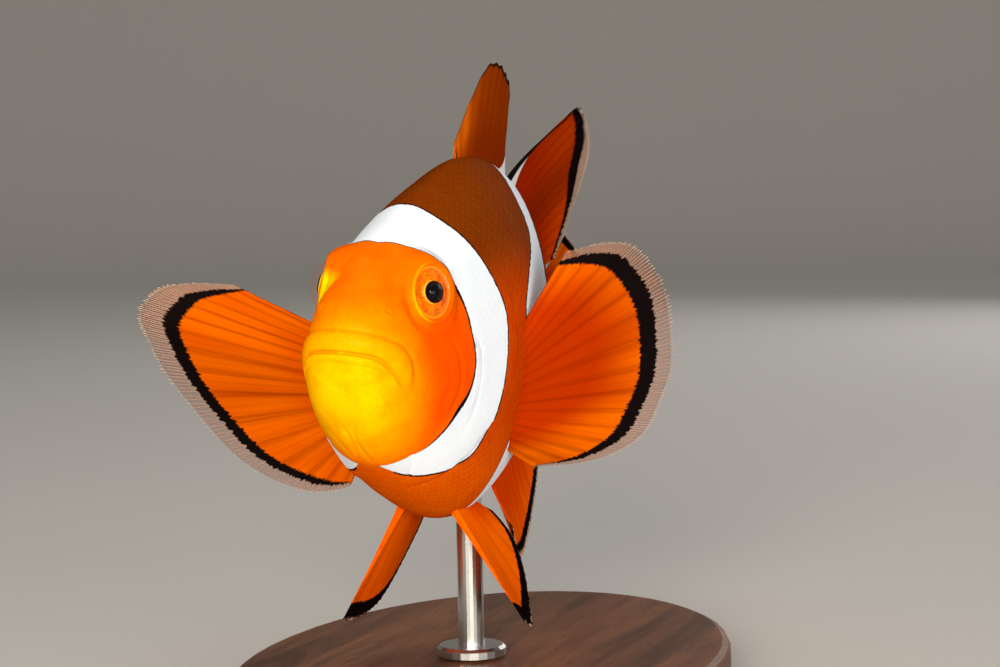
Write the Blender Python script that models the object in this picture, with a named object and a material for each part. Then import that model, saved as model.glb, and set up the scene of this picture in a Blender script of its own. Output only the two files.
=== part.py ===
"""A common clownfish (Amphiprion ocellaris) as a life-size museum model on a plain display stand.

The fish is first worked out at rest: straight, X to its left, Y from the snout to the tail, Z up, with
the mouth at the origin. pose() then lays it along its headings, banks and pitches it and lifts it over the
stand. The row frame has +Z up and its origin at the centre of the stand's underside. The fish looks along -Y.
"""

import math

import bmesh
import bpy
from mathutils import Matrix, Vector

# Driving dimensions, in metres and degrees.
STANDARD_LENGTH = 0.072
GAP = 0.0003
FIN_EDGE_THICKNESS = 0.00055
FIN_ROOT_THICKNESS = 0.0011
PITCH_DEG = 4.0
BANK_DEG = 4.0
MOUTH_HEIGHT = 0.0335
BASE_LENGTH, BASE_WIDTH, BASE_HEIGHT = 0.066, 0.044, 0.005
BASE_BEVEL = 0.0008
BASE_STATION = 0.50
ROD_STATION = 0.48
ROD_RADIUS = 0.0012
ROD_FOOT_RADIUS, ROD_FOOT_HEIGHT = 0.0032, 0.0009

# Which way the body points along its length: (station, degrees to the fish's right).
HEADINGS = ((0.30, 0.0), (0.50, 4.0), (0.75, 10.0), (1.00, 5.0), (1.25, -5.0), (1.40, -8.0))

# Body sections, as shares of the standard length: distance behind the snout, back, belly, half width,
# level of the widest place, and the squareness of the upper and the lower half (2 is an ellipse).
BODY_SECTIONS = (
    (0.000, 0.000, 0.000, 0.000, 0.000, 2.3, 2.2),
    (0.010, 0.041, -0.045, 0.036, -0.006, 2.3, 2.2),
    (0.030, 0.069, -0.073, 0.052, -0.008, 2.3, 2.2),
    (0.080, 0.116, -0.111, 0.069, -0.010, 2.2, 2.2),
    (0.150, 0.159, -0.146, 0.087, -0.008, 1.95, 2.2),
    (0.250, 0.205, -0.184, 0.101, -0.002, 1.72, 2.1),
    (0.350, 0.236, -0.208, 0.105, 0.000, 1.65, 2.0),
    (0.450, 0.242, -0.202, 0.098, 0.002, 1.70, 1.78),
    (0.600, 0.212, -0.166, 0.077, 0.004, 1.8, 1.68),
    (0.750, 0.148, -0.124, 0.052, 0.004, 1.8, 1.8),
    (0.880, 0.092, -0.086, 0.031, 0.002, 2.0, 2.0),
    (0.950, 0.082, -0.078, 0.021, 0.002, 2.0, 2.0),
    (1.000, 0.086, -0.083, 0.013, 0.002, 2.0, 2.0),
    (1.040, 0.070, -0.068, 0.005, 0.001, 2.0, 2.0),
)
SNOUT_TIP = 0.0006
MOUTH_SLOPE, MOUTH_CORNER = 0.57, 0.062
LIP_SWELL, LIP_WIDTH = 0.0040, 0.010
LIP_LEVELS = (0.013, -0.012)
HEAD_CORE = Vector((0.0, 0.13, 0.0))
HEAD_BACK = 0.27

# Side outlines of the lower jaw and of a gill cover: (station, level), anticlockwise from the left.
JAW_OUTLINE = (
    (-0.05, 0.020), (-0.05, -0.22), (0.115, -0.22), (0.125, -0.105), (0.075, -0.044), (0.030, -0.014),
    (0.010, -0.004), (0.000, 0.000),
)
COVER_OUTLINE = (
    (0.185, 0.030), (0.178, -0.030), (0.190, -0.085), (0.215, -0.125), (0.290, -0.180), (0.360, -0.100),
    (0.360, 0.085), (0.285, 0.105), (0.215, 0.080),
)
COVER_DEPTH = 0.055
HEAD_REACH = 0.13
# The eye on the fish's left, and the way it looks from straight out.
EYE_CENTRE = Vector((0.0500, 0.120, 0.073))
EYE_RADIUS = 0.034
EYE_FORWARD_DEG, EYE_UP_DEG = 24.0, 8.0

RING_POINTS = 36
HEAD_RINGS, TRUNK_RINGS, STALK_RINGS = 20, 13, 6
STALK_STATION = 0.84
BODY_END = 1.04

# The fins' rays, from the front or upper edge to the rear or lower one: (share of the rays, value).
PECTORAL_RAYS = 16
LEFT_LENGTH = (
    (0.0, 0.160), (0.10, 0.206), (0.22, 0.250), (0.36, 0.270), (0.52, 0.262),
    (0.70, 0.224), (0.85, 0.170), (1.0, 0.100),
)
RIGHT_LENGTH = (
    (0.0, 0.165), (0.10, 0.217), (0.22, 0.264), (0.36, 0.280), (0.52, 0.255),
    (0.70, 0.206), (0.85, 0.142), (1.0, 0.074),
)
LEFT_RISE = ((0.0, 51.0), (0.18, 42.0), (0.36, 26.0), (0.55, 7.0), (0.8, -10.0), (1.0, -20.0))
LEFT_SWEEP = ((0.0, 70.0), (0.1, 59.0), (0.3, 54.0), (0.6, 53.0), (0.8, 55.0), (1.0, 76.0))
RIGHT_RISE = ((0.0, 22.0), (0.3, 13.0), (0.5, 2.0), (0.65, -15.0), (0.8, -36.0), (1.0, -60.0))
RIGHT_SWEEP = ((0.0, -18.0), (0.4, -14.0), (0.7, 14.0), (1.0, 34.0))
PECTORAL_CURL = 12.0
# The left pelvic fin is partly folded, so its tips stand nearer the body.
LEFT_PELVIC_LENGTH = ((0.0, 0.198), (0.3, 0.214), (0.6, 0.196), (0.85, 0.146), (1.0, 0.084))
RIGHT_PELVIC_LENGTH = ((0.0, 0.224), (0.3, 0.240), (0.6, 0.222), (0.85, 0.170), (1.0, 0.092))
TAIL_SPREAD_DEG = 27.0


def clear_scene():
    for obj in list(bpy.data.objects):
        bpy.data.objects.remove(obj)


def smooth(low, high, value):
    """0 below low, 1 above high and an even turn between them."""
    t = min(1.0, max(0.0, (value - low) / (high - low)))
    return t * t * (3.0 - 2.0 * t)


def through(points, at):
    """Value at `at` of the smooth curve through (place, value) points."""
    last = len(points) - 1
    i = min(max(sum(p[0] <= at for p in points) - 1, 0), last - 1)
    slopes = []
    for j in (i, i + 1):
        a, b = points[max(j - 1, 0)], points[min(j + 1, last)]
        slopes.append((b[1] - a[1]) / (b[0] - a[0]))
    (x0, y0), (x1, y1) = points[i], points[i + 1]
    span = x1 - x0
    t = (at - x0) / span
    return (
        y0 * (1 + 2 * t) * (1 - t) ** 2
        + y1 * t * t * (3 - 2 * t)
        + span * (slopes[0] * t * (1 - t) ** 2 - slopes[1] * t * t * (1 - t))
    )


def section(station):
    """Back, belly, half width, widest level and squareness of the body there, as shares of the length.

    They are smooth in the root of the station, so the snout is round and not pointed.
    """
    root = math.sqrt(max(station, 0.0))
    return [
        through([(math.sqrt(row[0]), row[column]) for row in BODY_SECTIONS], root)
        for column in range(1, 7)
    ]


def lip_swell(point):
    """How far the lips stand out at a point of the snout, as a share of the length."""
    across, station, height = point
    off = height + MOUTH_SLOPE * station
    lips = sum(math.exp(-(((off - centre) / LIP_WIDTH) ** 2)) for centre in LIP_LEVELS)
    return LIP_SWELL * lips * (1.0 - smooth(MOUTH_CORNER, MOUTH_CORNER + 0.03, station))


def skin(station, turn, grow=0.0):
    """The point of the body's surface at a station and a turn from the back (0) over the left side."""
    back, belly, half_width, level, upper, lower = section(station)
    up, out = math.cos(turn), math.sin(turn)
    power = 2.0 / (upper if up > 0 else lower)
    half_height = (back - level) if up > 0 else (level - belly)
    half_height += grow / STANDARD_LENGTH
    half_width += grow / STANDARD_LENGTH
    across = math.copysign(half_width * abs(out) ** power, out)
    height = level + math.copysign(half_height * abs(up) ** power, up)
    point = Vector((across, station, height))
    if station < MOUTH_CORNER + 0.03:
        point += (point - HEAD_CORE).normalized() * lip_swell(point)
    return point * STANDARD_LENGTH


def bend(point):
    """Lays the straight body along the headings."""
    start = HEADINGS[0][0] * STANDARD_LENGTH
    if point.y <= start:
        return point.copy()
    steps = 24
    reach = point.y - start
    side, back = 0.0, start
    for i in range(steps):
        here = start + reach * (i + 0.5) / steps
        angle = math.radians(through(HEADINGS, here / STANDARD_LENGTH))
        side -= math.sin(angle) * reach / steps
        back += math.cos(angle) * reach / steps
    angle = math.radians(through(HEADINGS, point.y / STANDARD_LENGTH))
    return Vector((side + point.x * math.cos(angle), back + point.x * math.sin(angle), point.z))


PIVOT = Vector((0.0, BASE_STATION * STANDARD_LENGTH, 0.0))
ATTITUDE = (
    Matrix.Translation((0.0, 0.0, MOUTH_HEIGHT))
    @ Matrix.Rotation(math.radians(-PITCH_DEG), 4, "X")
    @ Matrix.Rotation(math.radians(BANK_DEG), 4, "Y")
    @ Matrix.Translation(-PIVOT)
)


def pose(point):
    """From the straight fish at rest to the row frame."""
    return ATTITUDE @ bend(point)


def material(name, colour, roughness, metallic=0.0):
    made = bpy.data.materials.new(name)
    made.use_nodes = True
    shader = made.node_tree.nodes["Principled BSDF"]
    shader.inputs["Base Color"].default_value = (*colour, 1.0)
    shader.inputs["Roughness"].default_value = roughness
    shader.inputs["Metallic"].default_value = metallic
    return made


def object_from(name, points, faces, finish):
    mesh = bpy.data.meshes.new(name)
    mesh.from_pydata([tuple(p) for p in points], [], faces)
    mesh.materials.append(finish)
    mesh.shade_smooth()
    mesh.set_sharp_from_angle(angle=math.radians(50))
    made = bpy.data.objects.new(name, mesh)
    bpy.context.scene.collection.objects.link(made)
    return made


def face_outward(made):
    work = bmesh.new()
    work.from_mesh(made.data)
    bmesh.ops.recalc_face_normals(work, faces=work.faces)
    work.to_mesh(made.data)
    work.free()


def helper(made):
    """Keeps a cutter out of the model."""
    made.hide_render = True
    made.display_type = "WIRE"
    return made


def boolean(target, cutter, operation="DIFFERENCE"):
    modifier = target.modifiers.new(cutter.name, "BOOLEAN")
    modifier.operation = operation
    modifier.object = cutter
    modifier.solver = "EXACT"


def loft(name, rings, finish, front_cap, rear_cap):
    """A closed body through rings of equal counts. A cap is a point that the end ring fans to."""
    count = len(rings[0])
    points = [p for ring in rings for p in ring]
    faces = []
    for i in range(len(rings) - 1):
        for k in range(count):
            a, b = i * count + k, i * count + (k + 1) % count
            faces.append((a, b, b + count, a + count))
    points += [front_cap, rear_cap]
    last = (len(rings) - 1) * count
    for k in range(count):
        after = (k + 1) % count
        faces.append((len(points) - 2, after, k))
        faces.append((len(points) - 1, last + k, last + after))
    made = object_from(name, points, faces, finish)
    face_outward(made)
    return made


def turns():
    return [2.0 * math.pi * k / RING_POINTS for k in range(RING_POINTS)]


def gill_station(turn):
    """The gill opening: furthest back at mid height, and well forward under the throat."""
    return through(
        [(-1.0, 0.175), (-0.6, 0.235), (0.0, 0.318), (0.6, 0.295), (1.0, 0.262)],
        math.cos(turn),
    )


def body_rings(first, last, count, grow=0.0):
    """Posed rings between two stations, each of which may be a function of the turn."""
    rings = []
    for i in range(count):
        share = i / (count - 1)
        ring = []
        for turn in turns():
            a, b = math.sqrt(first(turn)), math.sqrt(last(turn))
            ring.append(pose(skin((a + (b - a) * share) ** 2, turn, grow)))
        rings.append(ring)
    return rings


def middle(station):
    level = section(station)[3]
    return pose(Vector((0.0, station, level)) * STANDARD_LENGTH)


def build_head(name, finish):
    """The whole head as one body. Its jaw and gill covers are cut from copies of it."""
    gap = GAP / STANDARD_LENGTH
    rings = body_rings(lambda turn: SNOUT_TIP, gill_station, HEAD_RINGS)
    return loft(name, rings, finish, pose(Vector((0, 0, 0))), middle(HEAD_BACK - gap))


def side_prism(name, outline, low, high):
    """A cutter with an outline of (station, level), from low to high across, as shares of the length."""
    rings = [
        [pose(Vector((across, station, level)) * STANDARD_LENGTH) for station, level in outline]
        for across in (low, high)
    ]
    count = len(outline)
    faces = [tuple(range(count)), tuple(range(2 * count - 1, count - 1, -1))]
    for k in range(count):
        after = (k + 1) % count
        faces.append((k, k + count, after + count, after))
    made = object_from(name, rings[0] + rings[1], faces, bpy.data.materials[0])
    face_outward(made)
    return helper(made)


def offset_outline(outline, distance):
    """The outline moved outward by a distance, with mitred corners. Its points run anticlockwise."""
    moved = []
    count = len(outline)
    for k, (x, z) in enumerate(outline):
        before, after = outline[k - 1], outline[(k + 1) % count]
        first = Vector((x - before[0], z - before[1])).normalized()
        second = Vector((after[0] - x, after[1] - z)).normalized()
        normals = Vector((first.y, -first.x)), Vector((second.y, -second.x))
        mitre = normals[0] + normals[1]
        mitre *= distance / (1.0 + normals[0].dot(normals[1]))
        moved.append((x + mitre.x, z + mitre.y))
    return moved


def part_the_head(head, finish):
    """Cuts the lower jaw and the two gill covers out of the head, each with a thin gap round it."""
    gap = GAP / STANDARD_LENGTH
    cuts = [("lower_jaw", JAW_OUTLINE, -HEAD_REACH, HEAD_REACH)]
    for side, word in ((1, "left"), (-1, "right")):
        inner, outer = sorted((side * COVER_DEPTH, side * HEAD_REACH))
        cuts.append((f"gill_cover_{word}", COVER_OUTLINE, inner, outer))
    for name, outline, low, high in cuts:
        piece = build_head(name, finish)
        boolean(piece, side_prism(name + "_shape", outline, low, high), "INTERSECT")
        wide = offset_outline(outline, gap)
        boolean(head, side_prism(name + "_room", wide, low - gap, high + gap))


def build_trunk(finish):
    gap = GAP / STANDARD_LENGTH
    rings = body_rings(
        lambda turn: gill_station(turn) + gap,
        lambda turn: STALK_STATION,
        TRUNK_RINGS,
    )
    return loft("trunk", rings, finish, middle(HEAD_BACK), middle(STALK_STATION))


def build_stalk(finish):
    gap = GAP / STANDARD_LENGTH
    rings = body_rings(
        lambda turn: STALK_STATION + gap, lambda turn: BODY_END, STALK_RINGS
    )
    return loft("tail_stalk", rings, finish, middle(STALK_STATION + gap), middle(BODY_END))


def build_clearance(finish):
    rings = body_rings(lambda turn: SNOUT_TIP, lambda turn: BODY_END + 0.004, 34, GAP)
    return helper(
        loft("body_clearance", rings, finish, pose(Vector((0, 0, 0))), middle(BODY_END + 0.004))
    )


def fin_sheet(name, rays, finish):
    """A closed fin from rays, each a list of points from the root to the edge, thick at the root."""
    columns, rows = len(rays), len(rays[0])
    grid = [[pose(p) for p in ray] for ray in rays]
    sides = ([], [])
    for i in range(columns):
        for j in range(rows):
            along = grid[i][min(j + 1, rows - 1)] - grid[i][max(j - 1, 0)]
            across = grid[min(i + 1, columns - 1)][j] - grid[max(i - 1, 0)][j]
            normal = along.cross(across).normalized()
            share = j / (rows - 1)
            half = 0.5 * (FIN_ROOT_THICKNESS + (FIN_EDGE_THICKNESS - FIN_ROOT_THICKNESS) * share)
            sides[0].append(grid[i][j] + normal * half)
            sides[1].append(grid[i][j] - normal * half)
    total = columns * rows
    faces = []
    for i in range(columns - 1):
        for j in range(rows - 1):
            a, b, c, d = i * rows + j, i * rows + j + 1, (i + 1) * rows + j + 1, (i + 1) * rows + j
            faces.append((a, b, c, d))
            faces.append((d + total, c + total, b + total, a + total))
    rim = (
        [i * rows for i in range(columns)]
        + [(columns - 1) * rows + j for j in range(1, rows)]
        + [i * rows + rows - 1 for i in range(columns - 2, -1, -1)]
        + [j for j in range(rows - 2, 0, -1)]
    )
    for k, a in enumerate(rim):
        b = rim[(k + 1) % len(rim)]
        faces.append((b, a, a + total, b + total))
    made = object_from(name, sides[0] + sides[1], faces, finish)
    face_outward(made)
    return made


def median_rays(stations, lengths, leans, side, rows, sink=0.014, sway=0.0):
    """Rays of a fin on the midline: side is +1 on the back and -1 on the belly, lean is from upright.

    sway carries the edge to the fish's left, less towards the rear, as a share of the length.
    """
    rays = []
    for station, length, lean in zip(stations, lengths, leans):
        aside = sway * (1.0 - 0.4 * (station - stations[0]) / (stations[-1] - stations[0]))
        back, belly = section(station)[:2]
        edge = back if side > 0 else belly
        root = Vector((0.0, station, edge - side * sink))
        angle = math.radians(lean)
        reach = Vector((0.0, math.sin(angle), side * math.cos(angle)))
        ray = []
        for j in range(rows):
            share = j / (rows - 1)
            point = root + reach * (length + sink) * share
            point.x += aside * share ** 1.5
            ray.append(point * STANDARD_LENGTH)
        rays.append(ray)
    return rays


def spread(low, high, count):
    return [low + (high - low) * i / (count - 1) for i in range(count)]


def build_spiny_dorsal(finish):
    """Ten spines with the membrane notched between them, lower at the notch before the soft part."""
    stations = spread(0.342, 0.578, 21)
    height = (
        (0.342, 0.052), (0.368, 0.090), (0.405, 0.124), (0.445, 0.145), (0.485, 0.156), (0.53, 0.134),
        (0.578, 0.040),
    )
    lean = ((0.342, 23.0), (0.45, 32.0), (0.53, 34.0), (0.578, 22.0))
    lengths = [
        through(height, station) - (0.012 if i % 2 else 0.0) for i, station in enumerate(stations)
    ]
    leans = [through(lean, station) for station in stations]
    rays = median_rays(stations, lengths, leans, 1, 5, sway=-0.006)
    return fin_sheet("dorsal_fin_spiny", rays, finish)


def build_soft_dorsal(finish):
    stations = spread(0.588, 0.865, 15)
    height = (
        (0.588, 0.105), (0.62, 0.160), (0.66, 0.188), (0.70, 0.193), (0.78, 0.170), (0.865, 0.075),
    )
    lean = ((0.588, 20.0), (0.65, 36.0), (0.72, 46.0), (0.865, 62.0))
    rays = median_rays(
        stations,
        [through(height, s) for s in stations],
        [through(lean, s) for s in stations],
        1,
        6,
        sway=0.076,
    )
    return fin_sheet("dorsal_fin_soft", rays, finish)


def build_anal_fin(finish):
    stations = spread(0.605, 0.860, 13)
    depth = ((0.605, 0.065), (0.65, 0.140), (0.71, 0.190), (0.78, 0.176), (0.860, 0.110))
    lean = ((0.605, 30.0), (0.72, 38.0), (0.860, 60.0))
    rays = median_rays(
        stations,
        [through(depth, s) for s in stations],
        [through(lean, s) for s in stations],
        -1,
        6,
        sway=0.036,
    )
    return fin_sheet("anal_fin", rays, finish)


def build_tail_fin(finish):
    """A rounded fan of rays from the end of the stalk."""
    rays = []
    columns, rows = 17, 7
    for i in range(columns):
        share = 2.0 * i / (columns - 1) - 1.0
        angle = math.radians(TAIL_SPREAD_DEG) * share * (0.7 + 0.3 * abs(share))
        length = 0.265 - 0.085 * abs(share) ** 2.6
        root = Vector((0.0, 1.005 - 0.02 * share * share, 0.001 + 0.076 * share))
        reach = Vector((0.0, math.cos(angle), math.sin(angle)))
        rays.append([(root + reach * length * j / (rows - 1)) * STANDARD_LENGTH for j in range(rows)])
    return fin_sheet("tail_fin", rays, finish)


def fan_rays(roots, lengths, rises, sweeps, curl, side, rows):
    """Rays of a paired fin. A ray's rise is up from level and its sweep is back from straight out, in
    degrees, and curl is what it turns forward from root to tip."""
    rays = []
    for root, length, rise, sweep in zip(roots, lengths, rises, sweeps):
        point, ray = root.copy(), [root * STANDARD_LENGTH]
        step = length / (rows - 1)
        for j in range(rows - 1):
            share = (j + 0.5) / (rows - 1)
            turn = math.radians(sweep + curl * (0.5 - share))
            level, up = math.cos(math.radians(rise)), math.sin(math.radians(rise))
            point += Vector((side * level * math.cos(turn), level * math.sin(turn), up)) * step
            ray.append(point * STANDARD_LENGTH)
        rays.append(ray)
    return rays


def build_pectoral(side, finish):
    """side is +1 on the fish's left. The left fin is swept back in its stroke, the right one spread."""
    shares = spread(0.0, 1.0, PECTORAL_RAYS)
    length, rise, sweep = (
        (LEFT_LENGTH, LEFT_RISE, LEFT_SWEEP) if side > 0 else (RIGHT_LENGTH, RIGHT_RISE, RIGHT_SWEEP)
    )
    sink = 0.012
    roots = [
        Vector((side * (0.100 - sink - 0.012 * share), 0.322 + 0.012 * share, -0.006 - 0.096 * share))
        for share in shares
    ]
    rays = fan_rays(
        roots,
        [through(length, s) + sink for s in shares],
        [through(rise, s) for s in shares],
        [through(sweep, s) for s in shares],
        PECTORAL_CURL * (1 if side > 0 else -1),
        side,
        9,
    )
    name = "pectoral_fin_left" if side > 0 else "pectoral_fin_right"
    return fin_sheet(name, rays, finish)


def build_pelvic(side, finish):
    shares = spread(0.0, 1.0, 9)
    length = LEFT_PELVIC_LENGTH if side > 0 else RIGHT_PELVIC_LENGTH
    fall = ((0.0, -50.0), (0.5, -40.0), (1.0, -14.0))
    sweep = ((0.0, 47.5 + 3.5 * side), (0.4, 63.5 + 3.5 * side), (1.0, 80.0 + 2.0 * side))
    roots = [Vector((side * 0.028, 0.328 + 0.070 * share, -0.184)) for share in shares]
    rays = fan_rays(
        roots,
        [through(length, s) for s in shares],
        [through(fall, s) for s in shares],
        [through(sweep, s) for s in shares],
        0.0,
        side,
        8,
    )
    name = "pelvic_fin_left" if side > 0 else "pelvic_fin_right"
    return fin_sheet(name, rays, finish)


def eye_ball(name, side, finish, grow=0.0):
    """The eyeball. Its pole is the pupil, which looks out, forward and a little up."""
    mesh = bpy.data.meshes.new(name)
    work = bmesh.new()
    bmesh.ops.create_uvsphere(work, u_segments=20, v_segments=12, radius=1.0)
    radius = EYE_RADIUS * STANDARD_LENGTH + grow
    forward, up = math.radians(EYE_FORWARD_DEG), math.radians(EYE_UP_DEG)
    axis = Vector((side * math.cos(forward) * math.cos(up), -math.sin(forward) * math.cos(up), math.sin(up)))
    turn = axis.to_track_quat("Z", "Y").to_matrix().to_4x4()
    centre = Vector((side * EYE_CENTRE.x, EYE_CENTRE.y, EYE_CENTRE.z)) * STANDARD_LENGTH
    bmesh.ops.transform(
        work,
        matrix=ATTITUDE @ Matrix.Translation(centre) @ turn @ Matrix.Scale(radius, 4),
        verts=work.verts,
    )
    work.to_mesh(mesh)
    work.free()
    mesh.materials.append(finish)
    mesh.shade_smooth()
    made = bpy.data.objects.new(name, mesh)
    bpy.context.scene.collection.objects.link(made)
    return made


def build_base(finish):
    """A low oval plate with softened edges."""
    mesh = bpy.data.meshes.new("stand_base")
    work = bmesh.new()
    bmesh.ops.create_cone(
        work, cap_ends=True, segments=48, radius1=0.5, radius2=0.5, depth=BASE_HEIGHT,
        matrix=Matrix.Translation((0, 0, BASE_HEIGHT / 2)) @ Matrix.Diagonal((BASE_WIDTH, BASE_LENGTH, 1, 1)),
    )
    rims = [e for e in work.edges if abs(e.verts[0].co.z - e.verts[1].co.z) < 1e-6]
    bmesh.ops.bevel(work, geom=rims, offset=BASE_BEVEL, segments=2, affect="EDGES", profile=0.5)
    work.to_mesh(mesh)
    work.free()
    mesh.materials.append(finish)
    made = bpy.data.objects.new("stand_base", mesh)
    bpy.context.scene.collection.objects.link(made)
    return made


def build_rod(finish, clearance):
    """An upright rod with a turned foot, cut off by the belly that it carries."""
    place = pose(Vector((0.0, ROD_STATION, -0.1)) * STANDARD_LENGTH)
    low = BASE_HEIGHT + GAP
    levels = (
        (low, ROD_FOOT_RADIUS),
        (low + ROD_FOOT_HEIGHT * 0.7, ROD_FOOT_RADIUS),
        (low + ROD_FOOT_HEIGHT, ROD_FOOT_RADIUS - ROD_FOOT_HEIGHT * 0.3),
        (low + ROD_FOOT_HEIGHT, ROD_RADIUS),
        (place.z, ROD_RADIUS),
    )
    sides = 24
    rings = [
        [
            Vector((place.x + r * math.cos(2 * math.pi * k / sides), place.y + r * math.sin(2 * math.pi * k / sides), z))
            for k in range(sides)
        ]
        for z, r in levels
    ]
    made = loft("stand_rod", rings, finish, Vector((place.x, place.y, low)), Vector((place.x, place.y, place.z)))
    boolean(made, clearance)
    return made


def main():
    clear_scene()
    orange = material("skin_orange", (0.80, 0.20, 0.01), 0.35)
    fin = material("fin_orange", (0.80, 0.17, 0.01), 0.40)
    eye = material("eye", (0.55, 0.12, 0.02), 0.08)
    wood = material("stand_wood", (0.55, 0.38, 0.22), 0.45)
    steel = material("stand_steel", (0.60, 0.60, 0.62), 0.30, 1.0)
    head = build_head("head", orange)
    for side, word in ((1, "left"), (-1, "right")):
        eye_ball(f"eye_{word}", side, eye)
        boolean(head, helper(eye_ball(f"socket_{word}", side, eye, GAP)))
    part_the_head(head, orange)
    build_trunk(orange)
    build_stalk(orange)
    clearance = build_clearance(orange)
    fins = [
        build_spiny_dorsal(fin),
        build_soft_dorsal(fin),
        build_anal_fin(fin),
        build_tail_fin(fin),
    ]
    for side in (1, -1):
        fins += [build_pectoral(side, fin), build_pelvic(side, fin)]
    for made in fins:
        boolean(made, clearance)
    build_base(wood)
    build_rod(steel, clearance)


main()
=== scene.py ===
"""A common clownfish on a display stand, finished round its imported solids.

One skin with its relief replaces the solids of flesh, small overlapping scales lie over it, and fins of
rays and membrane, eyes with clear domes and a finished stand complete it. The fish is first worked out at
rest, in shares of its standard length: X to its left, Y from the snout to the tail and Z up, with the
mouth at the origin. Stance then lays it in its pose over the stand, in the row frame.
"""

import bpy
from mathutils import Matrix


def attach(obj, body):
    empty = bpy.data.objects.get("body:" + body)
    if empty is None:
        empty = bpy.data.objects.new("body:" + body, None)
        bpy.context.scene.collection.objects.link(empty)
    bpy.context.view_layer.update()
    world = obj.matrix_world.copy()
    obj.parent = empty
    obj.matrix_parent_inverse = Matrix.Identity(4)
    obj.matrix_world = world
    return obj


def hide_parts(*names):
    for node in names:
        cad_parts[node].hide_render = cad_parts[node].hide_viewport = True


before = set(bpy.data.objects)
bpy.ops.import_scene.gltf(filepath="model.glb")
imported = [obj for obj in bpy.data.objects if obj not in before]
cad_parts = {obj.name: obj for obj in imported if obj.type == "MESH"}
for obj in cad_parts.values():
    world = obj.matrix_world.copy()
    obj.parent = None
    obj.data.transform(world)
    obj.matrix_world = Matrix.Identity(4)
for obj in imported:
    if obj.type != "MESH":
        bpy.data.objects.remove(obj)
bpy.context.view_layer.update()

import itertools
import logging
import math
from dataclasses import dataclass
from enum import Enum

import bpy
import numpy as np
from mathutils import Matrix, Vector
from mathutils.kdtree import KDTree

LOG = logging.getLogger("clownfish")
Array = np.ndarray
Knots = tuple[tuple[float, float], ...]
Triple = tuple[float, float, float]

STANDARD_LENGTH = 0.072
MM = 0.001
MM_PER_SHARE = STANDARD_LENGTH / MM
BAKE_MAP = "OFBake"


class Side(Enum):
    """The two sides of the fish, by the sign of X."""

    LEFT = 1
    RIGHT = -1

    @property
    def word(self) -> str:
        """The side's name in the pieces' names."""
        return self.name.lower()


def linear(code: str) -> tuple[float, float, float, float]:
    """Turns an sRGB hex code into a linear colour.

    Args:
        code: Six hex digits, such as "F07A00".

    Returns:
        Linear red, green and blue, and an alpha of 1.
    """
    parts = [int(code[i : i + 2], 16) / 255.0 for i in (0, 2, 4)]
    red, green, blue = (c / 12.92 if c <= 0.04045 else ((c + 0.055) / 1.055) ** 2.4 for c in parts)
    return (red, green, blue, 1.0)


def smooth(low: float, high: float, value: Array) -> Array:
    """An even turn from 0, where the value is at low, to 1, where it is at high."""
    t = np.clip((value - low) / (high - low), 0.0, 1.0)
    return t * t * (3.0 - 2.0 * t)


def bump(value: Array, centre: float, width: float) -> Array:
    """A soft bump, 1 at its centre and about a third at its width from there."""
    return np.exp(-(((value - centre) / width) ** 2))


def through(knots: Knots | list, at: Array) -> Array:
    """Reads the smooth curve through some knots.

    Args:
        knots: (place, value) pairs in rising order of place.
        at: Where to read it.

    Returns:
        The curve's value at each place.
    """
    table = np.asarray(knots, float)
    x, y = table[:, 0], table[:, 1]
    last = len(x) - 1
    before = np.maximum(np.arange(last + 1) - 1, 0)
    after = np.minimum(np.arange(last + 1) + 1, last)
    slopes = (y[after] - y[before]) / (x[after] - x[before])
    at = np.asarray(at, float)
    i = np.clip(np.searchsorted(x, at, side="right") - 1, 0, last - 1)
    span = x[i + 1] - x[i]
    t = (at - x[i]) / span
    rise = slopes[i] * t * (1 - t) ** 2 - slopes[i + 1] * t * t * (1 - t)
    return y[i] * (1 + 2 * t) * (1 - t) ** 2 + y[i + 1] * t * t * (3 - 2 * t) + span * rise


def unit(vectors: Array) -> Array:
    """The vectors along the last axis, each scaled to length 1."""
    return vectors / np.maximum(np.linalg.norm(vectors, axis=-1, keepdims=True), 1e-12)


def curve(points: tuple[tuple[float, ...], ...], count: int) -> Array:
    """Draws the smooth line through some points.

    Args:
        points: The points.
        count: How many points the line has, evenly spaced by the number of the points that it runs through.

    Returns:
        The line's points, one row each.
    """
    places = np.arange(len(points), dtype=float)
    at = np.linspace(0.0, places[-1], count)
    return np.stack([through(list(zip(places, axis)), at) for axis in zip(*points)], -1)


def wrapped_deg(turn: Array) -> Array:
    """Turns in degrees, each brought between -180 and 180."""
    return np.degrees((turn + np.pi) % (2 * np.pi) - np.pi)


def feed(tree: bpy.types.NodeTree, node: bpy.types.Node, feeds: dict) -> None:
    """Links or sets the inputs of a node.

    Args:
        tree: The node's tree.
        node: The node.
        feeds: What goes into its inputs, by name or number. A node stands for its first output.
    """
    for key, value in feeds.items():
        if isinstance(value, bpy.types.Node):
            value = value.outputs[0]
        if isinstance(value, bpy.types.NodeSocket):
            tree.links.new(value, node.inputs[key])
        else:
            node.inputs[key].default_value = value


def add(tree: bpy.types.NodeTree, kind: str, feeds: dict | None = None, **settings: object) -> bpy.types.Node:
    """Adds one node to a tree.

    Args:
        tree: The tree.
        kind: The node's type.
        feeds: What goes into its inputs, as feed takes it.
        **settings: The node's own settings.

    Returns:
        The node.
    """
    node = tree.nodes.new(kind)
    for name, value in settings.items():
        setattr(node, name, value)
    feed(tree, node, feeds or {})
    return node


def new_finish(name: str) -> tuple[bpy.types.Material, bpy.types.NodeTree, bpy.types.Node]:
    """Starts a material.

    Args:
        name: The material's name.

    Returns:
        The material, its tree and its shader.
    """
    made = bpy.data.materials.new(name)
    made.use_nodes = True
    return made, made.node_tree, made.node_tree.nodes["Principled BSDF"]


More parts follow.
